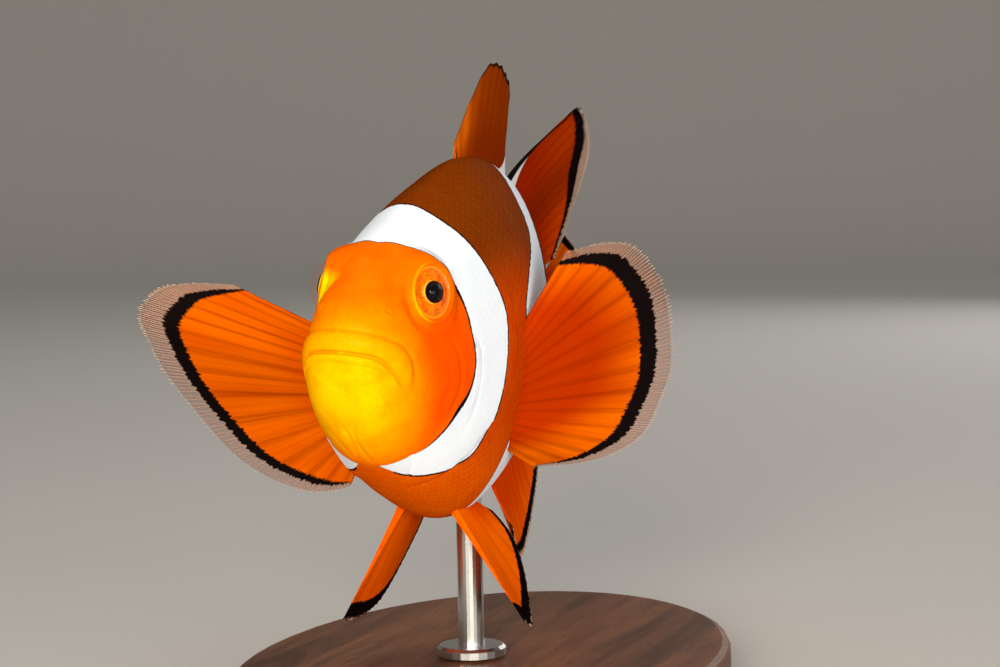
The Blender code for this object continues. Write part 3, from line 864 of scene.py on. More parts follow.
@dataclass
class Skin:
    """The one skin of the head, jaws, gill covers, trunk and tail stalk."""

    body: Body
    relief: HeadRelief
    markings: Markings
    stance: Stance
    turns: int = 400
    head_rings: int = 164
    trunk_rings: int = 78
    depth: float = 0.0014
    nodes: tuple[str, ...] = (
        "head", "lower_jaw", "gill_cover_left", "gill_cover_right", "trunk", "tail_stalk",
    )

    def rest(self, station: Array, turn: Array) -> Array:
        """The finished surface at rest, on a grid of stations and turns whose last axis goes round.

        Args:
            station: Stations, as a grid.
            turn: Turns, as a grid.

        Returns:
            Points in shares of the standard length.
        """
        step = 1e-4
        smooth_form = self.body.at(station, turn)
        along = self.body.at(station + step, turn) - smooth_form
        across = self.body.at(station, turn + step) - smooth_form
        normal = unit(np.cross(across, along))
        moved = self.relief.offsets(station, turn, smooth_form) - self.depth
        return self.relief.seat_eyes(smooth_form + normal * moved[..., None])

    def grid(self) -> tuple[Array, Array]:
        """Lays out the rings. Those of the head end on the gill opening.

        Returns:
            The station and the turn of every point, a row for each ring.
        """
        turn = np.linspace(0.0, 2.0 * np.pi, self.turns, endpoint=False)
        gill = np.sqrt(self.body.gill(turn))[None, :]
        start, end = math.sqrt(self.body.snout_tip), math.sqrt(self.body.end)
        ahead = np.linspace(0.0, 1.0, self.head_rings)[:, None]
        behind = np.linspace(0.0, 1.0, self.trunk_rings + 1)[1:, None] ** 1.35
        station = np.concatenate([start + (gill - start) * ahead, gill + (end - gill) * behind]) ** 2
        return station, np.broadcast_to(turn, station.shape)

    def build(self, finish: bpy.types.Material) -> bpy.types.Object:
        """Makes the skin.

        Args:
            finish: Its material.

        Returns:
            The skin, in place of the solids of flesh.
        """
        station, turn = self.grid()
        rest = self.rest(station, turn)
        rings, count = station.shape
        caps = np.array([[0.0, -0.0002 + self.depth, 0.0], [0.0, self.body.end, 0.0]])
        points = self.stance.lay(np.concatenate([rest.reshape(-1, 3), caps]))
        faces = ring_quads(rings, count).tolist()
        front, rear, last = rings * count, rings * count + 1, (rings - 1) * count
        faces += [(front, (k + 1) % count, k) for k in range(count)]
        faces += [(rear, last + k, last + (k + 1) % count) for k in range(count)]
        mesh = mesh_from("fish_skin", points, faces)
        flat_station = np.append(station.ravel(), [self.body.snout_tip, self.body.end])
        flat_turn = np.append(turn.ravel(), [0.0, 0.0])
        band, line = self.markings.fields(flat_station, flat_turn)
        store(mesh, "band", band)
        store(mesh, "line", line)
        ground = self.markings.ground(flat_station, flat_turn, self.body.at(flat_station, flat_turn))
        store(mesh, "ground", ground, "FLOAT_COLOR")
        self.unwrap(mesh, rings, count)
        mesh.materials.append(finish)
        made = link_in("fish_skin", mesh)
        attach(made, "root")
        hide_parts(*self.nodes)
        return made

    def unwrap(self, mesh: bpy.types.Mesh, rings: int, count: int) -> None:
        """Lays the rings flat side by side in the map that colours are baked through.

        Args:
            mesh: The skin's mesh.
            rings: How many rings it has.
            count: How many points each has.
        """
        corners = corner_vertices(mesh)
        ring, place = corners // count, corners % count
        u = place / count
        starts = np.empty(len(mesh.polygons), np.int32)
        mesh.polygons.foreach_get("loop_start", starts)
        sizes = np.empty(len(mesh.polygons), np.int32)
        mesh.polygons.foreach_get("loop_total", sizes)
        face = np.repeat(np.arange(len(sizes)), sizes)
        high = np.maximum.reduceat(u, starts)[face]
        u = np.where((high > 0.9) & (u < 0.1), u + 1.0, u)
        u = np.where(corners >= rings * count, np.repeat(np.minimum.reduceat(u, starts), sizes), u)
        v = np.where(corners == rings * count, -0.6, np.where(corners > rings * count, rings - 0.4, ring))
        map_bake(mesh, np.stack([0.01 + 0.97 * u, 0.01 + 0.98 * (v + 0.6) / (rings + 0.2)], -1))


@dataclass
class ScaleCoat:
    """The scales of one side, from the head band to the tail, in rows that lap rearward."""

    skin: Skin
    side: Side
    columns: int = 37
    first: float = 0.150
    last: float = 1.000
    # The way from one row to the next, by station.
    spacing: Knots = (
        (0.15, 0.0066), (0.24, 0.0088), (0.35, 0.0112), (0.60, 0.0108), (0.85, 0.0084), (1.0, 0.0070),
    )
    # The scales start this far behind the front of the head band, and leave the edge of the gill cover bare.
    start: float = 0.006
    gill_bare: tuple[float, float] = (-0.008, 0.004)
    lift: float = 0.030 * MM
    # Its share of the lift at the head band, and how far behind it and from the gill line the lift is whole.
    nape_lift: float = 0.20
    nape_reach: float = 0.14
    gill_reach: float = 0.035
    patch: float = 0.003
    ruffle: float = 0.07

    def plate(self) -> bpy.types.Object:
        """Makes one closed scale, one unit wide and long, with its middle at the origin.

        Returns:
            A helper object for the nodes to copy.
        """
        across = np.array([-0.58, -0.32, 0.0, 0.32, 0.58])
        shares = np.repeat([0.0, 0.55, 1.0], len(across))
        top = []
        for x, share in zip(np.tile(across, 3), shares):
            rear = 0.62 - 0.62 * (abs(x) / 0.58) ** 2.2
            top.append((x, -0.95 + (rear + 0.95) * share, (-1.1 + 2.1 * share) - 0.5 * (x / 0.58) ** 2))
        faces = [(a, a + 1, a + 6, a + 5) for a in (0, 1, 2, 3, 5, 6, 7, 8)]
        # The rim runs anticlockwise, and each of its corners has one below it.
        rim = [0, 1, 2, 3, 4, 9, 14, 13, 12, 11, 10, 5]
        low = [(top[i][0], top[i][1], top[i][2] - 1.3) for i in rim]
        points = np.array(top + low)
        under = {corner: len(top) + k for k, corner in enumerate(rim)}
        faces += [(b, a, under[a], under[b]) for a, b in zip(rim, rim[1:] + rim[:1])]
        faces.append([under[i] for i in reversed(rim)])
        mesh = mesh_from("scale_plate", points, faces)
        # Every edge off the upper face is sharp, so that the scale reads as thin and flat.
        for edge in mesh.edges:
            edge.use_edge_sharp = edge.vertices[1] >= len(top) or {*edge.vertices} <= {*rim}
        outward = np.concatenate([shares, shares[rim]])
        local = np.stack([points[:, 0] + 0.5, (points[:, 1] + 0.95) / 1.57, outward], -1)
        store(mesh, "local", local, "FLOAT_VECTOR")
        made = link_in("scale_plate", mesh)
        made.hide_render = True
        return made

    def past_band(self, station: Array, turn: Array) -> Array:
        """How far each place is behind the front edge of the head band."""
        head_band = self.skin.markings.bands[0]
        return station - head_band.edge(head_band.front, np.degrees(turn))

    def roots(self) -> tuple[Array, Array]:
        """Places the scales' middles, every other row half a scale on.

        The row along the back belongs to the left side and the one along the belly to the right.

        Returns:
            Their stations and turns.
        """
        stations, turns = [], []
        station, row = self.first, 0
        while station < self.last:
            columns = np.arange(self.columns) + (0.5 if row % 2 else float(self.side is Side.RIGHT))
            turns.append(self.side.value * np.pi * columns / self.columns)
            stations.append(np.full(turns[-1].shape, station))
            station += float(through(self.spacing, station))
            row += 1
        station, turn = np.concatenate(stations), np.concatenate(turns)
        behind = station - self.skin.body.gill(turn)
        near = (behind > self.gill_bare[0]) & (behind < self.gill_bare[1])
        bare = near & (self.skin.body.freed(turn) > 0.02)
        kept = (self.past_band(station, turn) > self.start) & ~bare
        return station[kept], turn[kept]

    def seeds(self) -> bpy.types.Object:
        """Makes the roots of the scales, with the way each faces and lies, its size and its bake place.

        Returns:
            An object of bare vertices.
        """
        station, turn = self.roots()
        step = 0.0012
        lay, form = self.skin.stance.lay, self.skin.rest
        here = lay(form(station, turn))
        along = lay(form(station + step, turn)) - lay(form(station - step, turn))
        spread = step / 0.15
        across = lay(form(station, turn + spread)) - lay(form(station, turn - spread))
        facing = unit(np.cross(across, along))
        gap = np.linalg.norm(across, axis=-1) / (2 * spread) * np.pi / self.columns
        pitch = np.linalg.norm(along, axis=-1) / (2 * step) * through(self.spacing, station)
        # The scales lie flatter on the nape, and flattest beside the gill opening.
        risen = smooth(0.0, self.nape_reach, self.past_band(station, turn))
        beside = smooth(-0.015, self.gill_reach, np.abs(station - self.skin.body.gill(turn)))
        lift = self.lift * (self.nape_lift + (1.0 - self.nape_lift) * risen) * beside
        mesh = mesh_from("scale_roots", here, [])
        store(mesh, "facing", facing, "FLOAT_VECTOR")
        store(mesh, "lie", unit(along), "FLOAT_VECTOR")
        store(mesh, "size", np.stack([gap, pitch, lift], -1), "FLOAT_VECTOR")
        place = np.stack([0.01 + 0.97 * np.abs(turn) / np.pi, 0.01 + 0.97 * station, 0 * station], -1)
        store(mesh, "bake_place", place, "FLOAT_VECTOR")
        return link_in(f"scale_coat_{self.side.word}_roots", mesh)

    def tree(self) -> bpy.types.NodeTree:
        """Builds the nodes that set a scale on each root, flatten them to mesh and mark them as the skin is.

        Returns:
            The node group, whose inputs are Plate, Skin, Finish, Patch, Ruffle and Seed.
        """
        made, given = new_group("lay_scales", {
            "Roots": "Geometry", "Plate": "Object", "Skin": "Object", "Finish": "Material", "Patch": "Float",
            "Ruffle": "Float", "Seed": "Int",
        }, "Scales")
        named = {}
        for name in ("facing", "lie", "size", "bake_place", "local"):
            named[name] = add(made, "GeometryNodeInputNamedAttribute", {"Name": name},
                              data_type="FLOAT_VECTOR").outputs["Attribute"]
        points = add(made, "GeometryNodeMeshToPoints", {"Mesh": given["Roots"]})
        plate = add(made, "GeometryNodeObjectInfo", {"Object": given["Plate"]})
        up = add(made, "FunctionNodeAlignRotationToVector", {"Vector": named["facing"]}, axis="Z")
        turned = add(made, "FunctionNodeAlignRotationToVector", {"Rotation": up, "Vector": named["lie"]},
                     axis="Y", pivot_axis="Z")
        low = add(made, "ShaderNodeMath", {0: 1.0, 1: given["Ruffle"]}, operation="SUBTRACT")
        high = add(made, "ShaderNodeMath", {0: 1.0, 1: given["Ruffle"]}, operation="ADD")
        # The float sockets of a random value are its third and fourth inputs and its second output.
        vary = add(made, "FunctionNodeRandomValue", {2: low, 3: high, "Seed": given["Seed"]},
                   data_type="FLOAT").outputs[1]
        size = add(made, "ShaderNodeVectorMath", {0: named["size"], "Scale": vary}, operation="SCALE")
        set_down = add(made, "GeometryNodeInstanceOnPoints", {
            "Points": points, "Instance": plate.outputs["Geometry"], "Rotation": turned, "Scale": size,
        })
        real = add(made, "GeometryNodeRealizeInstances", {"Geometry": set_down})
        patch = add(made, "ShaderNodeVectorMath", {0: named["local"], "Scale": given["Patch"]},
                    operation="SCALE")
        baked = add(made, "ShaderNodeVectorMath", {0: patch, 1: named["bake_place"]}, operation="ADD")
        flow = add(made, "GeometryNodeStoreNamedAttribute",
                   {"Geometry": real, "Name": BAKE_MAP, "Value": baked}, data_type="FLOAT2", domain="CORNER")
        under = add(made, "GeometryNodeObjectInfo", {"Object": given["Skin"]}).outputs["Geometry"]
        for name, kind in (("band", "FLOAT"), ("line", "FLOAT"), ("ground", "FLOAT_COLOR")):
            source = add(made, "GeometryNodeInputNamedAttribute", {"Name": name}, data_type=kind)
            read = add(made, "GeometryNodeSampleNearestSurface", {"Mesh": under, "Value": source},
                       data_type=kind)
            flow = add(made, "GeometryNodeStoreNamedAttribute",
                       {"Geometry": flow, "Name": name, "Value": read}, data_type=kind, domain="POINT")
        dressed = add(made, "GeometryNodeSetMaterial", {"Geometry": flow, "Material": given["Finish"]})
        add(made, "NodeGroupOutput", {0: dressed})
        return made

    def build(self, under: bpy.types.Object, finish: bpy.types.Material) -> bpy.types.Object:
        """Lays the scales of one side.

        Args:
            under: The skin that they lie on.
            finish: Its material, which the scales share.

        Returns:
            The coat as one plain mesh.
        """
        plate = self.plate()
        seeds = self.seeds()
        values = {"Plate": plate, "Skin": under, "Finish": finish, "Patch": self.patch,
                  "Ruffle": self.ruffle, "Seed": 5 + self.side.value}
        made = settle(seeds, self.tree(), values, f"scale_coat_{self.side.word}")
        bpy.data.objects.remove(plate)
        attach(made, "root")
        return made


def settle(source: bpy.types.Object, tree: bpy.types.NodeTree, values: dict, name: str) -> bpy.types.Object:
    """Runs a node group on an object and keeps the result as a plain mesh.

    Args:
        source: The object that the group starts from. It is removed.
        tree: The node group.
        values: The group's inputs by name.
        name: The name of the new object.

    Returns:
        The new object.
    """
    modifier = source.modifiers.new(tree.name, "NODES")
    modifier.node_group = tree
    for item in tree.interface.items_tree:
        if item.item_type == "SOCKET" and item.in_out == "INPUT" and item.name in values:
            modifier[item.identifier] = values[item.name]
    bpy.context.view_layer.update()
    graph = bpy.context.evaluated_depsgraph_get()
    settled = source.evaluated_get(graph)
    mesh = bpy.data.meshes.new_from_object(settled, preserve_all_data_layers=True, depsgraph=graph)
    source.modifiers.clear()
    bpy.data.objects.remove(source)
    mesh.name = name
    return link_in(name, mesh)


@dataclass(frozen=True)
class MedianBlade:
    """The sheet of a fin on the midline, where u runs rearward and v from the root to the edge."""

    body: Body
    up: int
    low: float
    high: float
    length: Knots
    lean: Knots
    sway: float
    # The share of the sway by u.
    bow: Knots = ((0.0, 1.0), (1.0, 0.6))
    spines: int = 0
    notch: float = 0.003
    sink: float = 0.014

    def reach(self, u: Array) -> Array:
        """Measures the fin from its sunk root to its edge.

        Args:
            u: The place along the root, from 0 at the first ray to 1 at the last.

        Returns:
            The length, in shares.
        """
        length = through(self.length, self.low + (self.high - self.low) * u) + self.sink
        if self.spines:
            length = length - self.notch * 0.5 * (1.0 - np.cos(2.0 * np.pi * (self.spines - 1) * u))
        return length

    def at(self, u: Array, v: Array) -> Array:
        """Places points of the sheet's middle at rest.

        Args:
            u: The place along the root, from 0 at the first ray to 1 at the last.
            v: The place from the root to the edge, from 0 to 1.

        Returns:
            Points in shares of the standard length.
        """
        station = self.low + (self.high - self.low) * u
        edge = self.body.section(station)[0 if self.up > 0 else 1]
        angle = np.radians(through(self.lean, station))
        out = self.reach(u) * v
        return np.stack([
            self.sway * through(self.bow, u) * np.abs(v) ** 1.5,
            station + np.sin(angle) * out,
            edge + self.up * (np.cos(angle) * out - self.sink),
        ], -1)


@dataclass(frozen=True)
class FanBlade:
    """The sheet of a paired fin, where u runs from its first ray to its last.

    A ray's rise is up from level and its sweep back from straight out, and curl is what it turns forward
    from root to tip, in degrees.
    """

    side: Side
    first_root: Triple
    last_root: Triple
    length: Knots
    rise: Knots
    sweep: Knots
    curl: float = 0.0
    sink: float = 0.0
    # A ripple's depth, how many waves cross the fin, how far they drift from root to edge, and how much of
    # a wave goes outward and forward.
    ripple: float = 0.0
    waves: float = 5.5
    drift: float = 0.4
    crest: tuple[float, float] = (0.6, 0.8)

    def reach(self, u: Array) -> Array:
        """The length of the fin from its sunk root to its edge, in shares."""
        return through(self.length, u) + self.sink

    def at(self, u: Array, v: Array) -> Array:
        """Places points of the sheet's middle at rest.

        Args:
            u: The place along the root, from 0 at the first ray to 1 at the last.
            v: The place from the root to the edge, from 0 to 1.

        Returns:
            Points in shares of the standard length.
        """
        mirror = np.array([self.side.value, 1.0, 1.0])
        first, last = np.array(self.first_root) * mirror, np.array(self.last_root) * mirror
        root = first + (last - first) * u[..., None]
        curl = math.radians(self.curl) or 1e-6
        start = np.radians(through(self.sweep, u)) + curl / 2
        rise = np.radians(through(self.rise, u))
        wave = self.ripple * v**2 * np.sin(2.0 * np.pi * (self.waves * u + self.drift * v))
        out = (np.sin(start) - np.sin(start - curl * v)) / curl
        back = (np.cos(start - curl * v) - np.cos(start)) / curl
        level, length = np.cos(rise), self.reach(u)
        return root + np.stack([
            self.side.value * level * out * length + self.side.value * wave * self.crest[0],
            level * back * length - wave * self.crest[1],
            np.sin(rise) * v * length,
        ], -1)


@dataclass(frozen=True)
class TailBlade:
    """The sheet of the tail fin, where u runs from its lowest ray to its highest."""

    spread_deg: float = 27.0
    ripple: float = 0.006
    waves: float = 2.5
    drift: float = 0.3
    # The length of the middle rays, how much shorter the outermost are, and how late the length falls.
    length: float = 0.265
    fall: float = 0.085
    squareness: float = 2.6
    # The root's station and level, how far its ends lie ahead of its middle, and its half height.
    root_station: float = 1.005
    root_level: float = 0.001
    root_ahead: float = 0.02
    root_half: float = 0.076

    def reach(self, u: Array) -> Array:
        """The length of the fin from its sunk root to its edge, in shares."""
        return self.length - self.fall * np.abs(2.0 * u - 1.0) ** self.squareness

    def at(self, u: Array, v: Array) -> Array:
        """Places points of the sheet's middle at rest.

        Args:
            u: The place along the root, from 0 at the first ray to 1 at the last.
            v: The place from the root to the edge, from 0 to 1.

        Returns:
            Points in shares of the standard length.
        """
        share = 2.0 * u - 1.0
        angle = math.radians(self.spread_deg) * share * (0.7 + 0.3 * np.abs(share))
        out = self.reach(u) * v
        wave = self.ripple * v**2 * np.sin(2.0 * np.pi * (self.waves * u + self.drift * v))
        return np.stack([
            wave,
            self.root_station - self.root_ahead * share**2 + np.cos(angle) * out,
            self.root_level + self.root_half * share + np.sin(angle) * out,
        ], -1)


@dataclass(frozen=True)
class Pattern:
    """The markings of a fin by u.

    The clear fringe, the black band inside it and the white that reaches out from the root are in
    millimetres. The painted shade is how far the orange is darkened where shade falls on the fin, and
    deep_to the share of each ray that is deep orange. The fringe and the black also run down the first ray
    of a fin that has a front wrap, its breadth in millimetres.
    """

    fringe: Knots
    black: Knots
    white: Knots = ((0.0, -1.0), (1.0, -1.0))
    dusk: Knots = ((0.0, 0.0), (1.0, 0.0))
    deep_to: Knots = ((0.0, 0.45), (1.0, 0.45))
    front_wrap: float = 0.0
    # The orange near the root and towards the edge, and how far dark streaks show between the rays.
    deep: str = "C03400"
    bright: str = "F87400"
    streaks: float = 1.0


@dataclass
class Fin:
    """One fin: a thin membrane with branching rays that stand out on both of its faces."""

    name: str
    node: str
    blade: MedianBlade | FanBlade | TailBlade
    pattern: Pattern
    stance: Stance
    rays: int
    rows: int = 46
    forks: tuple[float, ...] = (0.40, 0.66)
    # The radius of a ray at its root and at each fork, and of its last twigs at their tips.
    narrowing: tuple[float, ...] = (1.10, 0.72, 0.52, 0.38, 0.26)
    ray_mm: float = 0.15
    root_mm: float = 0.50
    rim_mm: float = 0.07
    fleshy: float = 0.14
    fleshy_mm: float = 0.9
    scallop: float = 0.022
    tip: float = 0.008
    branching: bool = True
    seed: int = 3

    def attributes(self, mesh: bpy.types.Mesh, u: Array, v: Array, ray: float) -> None:
        """Stores what the fin's finish reads at each vertex.

        Args:
            mesh: The mesh.
            u: Where across the fin each vertex is.
            v: Where along its ray.
            ray: 1 on a ray and 0 on the membrane.
        """
        length = self.blade.reach(u) * MM_PER_SHARE
        inside = (1.0 - v) * length
        if self.pattern.front_wrap:
            inside = np.minimum(inside, u * self.pattern.front_wrap)
        store(mesh, "inside", inside)
        store(mesh, "fringe", through(self.pattern.fringe, u))
        store(mesh, "black", through(self.pattern.black, u))
        store(mesh, "white", through(self.pattern.white, u) - v * length)
        # How far the orange is darkened as painted shade.
        store(mesh, "dusk", through(self.pattern.dusk, u))
        store(mesh, "past_deep", v - through(self.pattern.deep_to, u))
        store(mesh, "reach", v)
        store(mesh, "across", u * (self.rays - 1))
        store(mesh, "ray", np.full(u.shape, ray))
        store(mesh, "streaks", np.full(u.shape, self.pattern.streaks))
        for name, code in (("deep", self.pattern.deep), ("bright", self.pattern.bright)):
            store(mesh, name, np.tile(linear(code), (len(u), 1)), "FLOAT_COLOR")

    def membrane(self) -> bpy.types.Object:
        """Makes the closed sheet between the rays, with a lobe between each two tips.

        Returns:
            The sheet as an object.
        """
        per_ray = 2 ** (len(self.forks) + 1) if self.branching else 6
        columns = (self.rays - 1) * per_ray + 1
        u, v = np.meshgrid(np.linspace(0.0, 1.0, columns), np.linspace(0.0, 1.0, self.rows), indexing="ij")
        lobed = np.arange(columns) % 2 == 0 if self.branching else np.zeros(columns, bool)
        v = v * (1.0 - self.scallop * lobed[:, None])
        middle = self.stance.lay(self.blade.at(u, v))
        normal = unit(np.cross(np.gradient(middle, axis=1), np.gradient(middle, axis=0)))
        thick = self.rim_mm + (self.root_mm - self.rim_mm) * (1.0 - v) ** 1.6
        flesh = (1.0 - smooth(0.0, self.fleshy, v)) * np.sin(np.pi * np.clip(u, 0.02, 0.98))
        half = normal * (thick + self.fleshy_mm * flesh)[..., None] * 0.5 * MM
        points = np.concatenate([(middle + half).reshape(-1, 3), (middle - half).reshape(-1, 3)])
        total, rows = u.size, self.rows
        first = (np.arange(columns - 1)[:, None] * rows + np.arange(rows - 1)).ravel()
        near = np.stack([first, first + 1, first + rows + 1, first + rows], -1)
        faces = near.tolist() + (near[:, ::-1] + total).tolist()
        rim = [i * rows for i in range(columns)] + [(columns - 1) * rows + j for j in range(1, rows)]
        rim += [i * rows + rows - 1 for i in range(columns - 2, -1, -1)] + list(range(rows - 2, 0, -1))
        faces += [(b, a, a + total, b + total) for a, b in zip(rim, rim[1:] + rim[:1])]
        mesh = mesh_from(self.name, points, faces)
        self.attributes(mesh, np.tile(u.ravel(), 2), np.tile(v.ravel(), 2), 0.0)
        corners = corner_vertices(mesh)
        flat_u, flat_v = u.ravel()[corners % total], v.ravel()[corners % total]
        # The two faces lie side by side in the lower half of the map, and the rays in the upper half.
        across = 0.01 + 0.48 * flat_u + 0.50 * (corners >= total)
        map_bake(mesh, np.stack([across, 0.01 + 0.47 * flat_v], -1))
        return link_in(self.name + "_membrane", mesh)

    def lines(self) -> list[tuple[Array, Array, Array]]:
        """Lays out the rays and their branches.

        Returns:
            For each, its u, its v and its radius in millimetres, from root to tip.
        """
        pitch = 1.0 / (self.rays - 1)
        chance = np.random.default_rng(self.seed)
        made = []
        for centre in np.arange(self.rays) * pitch:
            if not self.branching:
                v = np.linspace(0.02, 1.0 + self.tip, 26)
                made.append((np.full(v.shape, centre), v, self.ray_mm * (1.15 - 0.85 * v)))
                continue
            stops = [0.04, *(fork + chance.uniform(-0.03, 0.03) for fork in self.forks), 1.0 + self.tip]
            branches = [centre]
            for level, (start, stop) in enumerate(zip(stops, stops[1:])):
                last = stop > 1.0
                grown = []
                for middle, fork in itertools.product(branches, (-1, 1) if level else (0,)):
                    v = np.linspace(start - 0.02, stop + last * chance.uniform(-0.008, 0.012), 13)
                    share = smooth(start - 0.02, stop, v)
                    u = middle + fork * pitch * 0.5 ** (level + 1) * share
                    wide, thin = self.narrowing[level], self.narrowing[level + 1]
                    made.append((u, v, self.ray_mm * (wide + (thin - wide) * share)))
                    grown.append(float(u[-1]))
                branches = grown
        return [(np.clip(u, 0.004, 0.996), v, radius) for u, v, radius in made]

    def ray_paths(self, lines: list[tuple[Array, Array, Array]]) -> bpy.types.Object:
        """Makes the rays as bare paths, each point with its radius and its place in the bake.

        Args:
            lines: The rays, as lines gives them.

        Returns:
            An object of loose edges.
        """
        u, v, radius = (np.concatenate([line[i] for line in lines]) for i in range(3))
        edges, start = [], 0
        strip = np.empty(u.shape)
        for number, line in enumerate(lines):
            count = len(line[0])
            edges += [(start + k, start + k + 1) for k in range(count - 1)]
            strip[start : start + count] = (number + 0.1) / len(lines)
            start += count
        mesh = mesh_from(self.name + "_rays", self.stance.lay(self.blade.at(u, v)), [], edges)
        self.attributes(mesh, u, np.minimum(v, 1.0), 1.0)
        store(mesh, "thick", radius * MM)
        store(mesh, "strip", strip)
        return link_in(self.name + "_rays", mesh)

    def tree(self) -> bpy.types.NodeTree:
        """Builds the nodes that run a round rod along each path and join them to the membrane.

        Returns:
            The node group, whose inputs are Membrane, Paths, Sides, Strip and Finish.
        """
        made, given = new_group("run_rays", {
            "Membrane": "Geometry", "Paths": "Object", "Sides": "Int", "Strip": "Float",
            "Finish": "Material",
        }, "Fin")
        named = {}
        for name in ("thick", "around", "strip", "reach"):
            named[name] = add(made, "GeometryNodeInputNamedAttribute", {"Name": name}, data_type="FLOAT")
        paths = add(made, "GeometryNodeObjectInfo", {"Object": given["Paths"]})
        wires = add(made, "GeometryNodeMeshToCurve", {"Mesh": paths.outputs["Geometry"]})
        sized = add(made, "GeometryNodeSetCurveRadius", {"Curve": wires, "Radius": named["thick"]})
        ring = add(made, "GeometryNodeCurvePrimitiveCircle", {"Resolution": given["Sides"], "Radius": 1.0})
        share = add(made, "GeometryNodeSplineParameter")
        marked = add(made, "GeometryNodeStoreNamedAttribute",
                     {"Geometry": ring, "Name": "around", "Value": share}, data_type="FLOAT", domain="POINT")
        rods = add(made, "GeometryNodeCurveToMesh",
                   {"Curve": sized, "Profile Curve": marked, "Scale": named["thick"], "Fill Caps": True})
        u = add(made, "ShaderNodeMath", {0: named["around"], 1: given["Strip"], 2: named["strip"]},
                operation="MULTIPLY_ADD")
        v = add(made, "ShaderNodeMath", {0: named["reach"], 1: 0.46, 2: 0.52}, operation="MULTIPLY_ADD")
        place = add(made, "ShaderNodeCombineXYZ", {"X": u, "Y": v})
        mapped = add(made, "GeometryNodeStoreNamedAttribute",
                     {"Geometry": rods, "Name": BAKE_MAP, "Value": place}, data_type="FLOAT2",
                     domain="CORNER")
        joined = add(made, "GeometryNodeJoinGeometry", {0: mapped})
        feed(made, joined, {0: given["Membrane"]})
        shaded = add(made, "GeometryNodeSetShadeSmooth", {"Geometry": joined})
        real = add(made, "GeometryNodeRealizeInstances", {"Geometry": shaded})
        dressed = add(made, "GeometryNodeSetMaterial", {"Geometry": real, "Material": given["Finish"]})
        add(made, "NodeGroupOutput", {0: dressed})
        return made

    def build(self, finish: bpy.types.Material) -> bpy.types.Object:
        """Makes the fin.

        Args:
            finish: Its material.

        Returns:
            The fin, in place of its solid.
        """
        lines = self.lines()
        paths = self.ray_paths(lines)
        values = {"Paths": paths, "Sides": 6, "Strip": 0.8 / len(lines), "Finish": finish}
        made = settle(self.membrane(), self.tree(), values, self.name)
        bpy.data.objects.remove(paths)
        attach(made, "root")
        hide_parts(self.node)
        return made


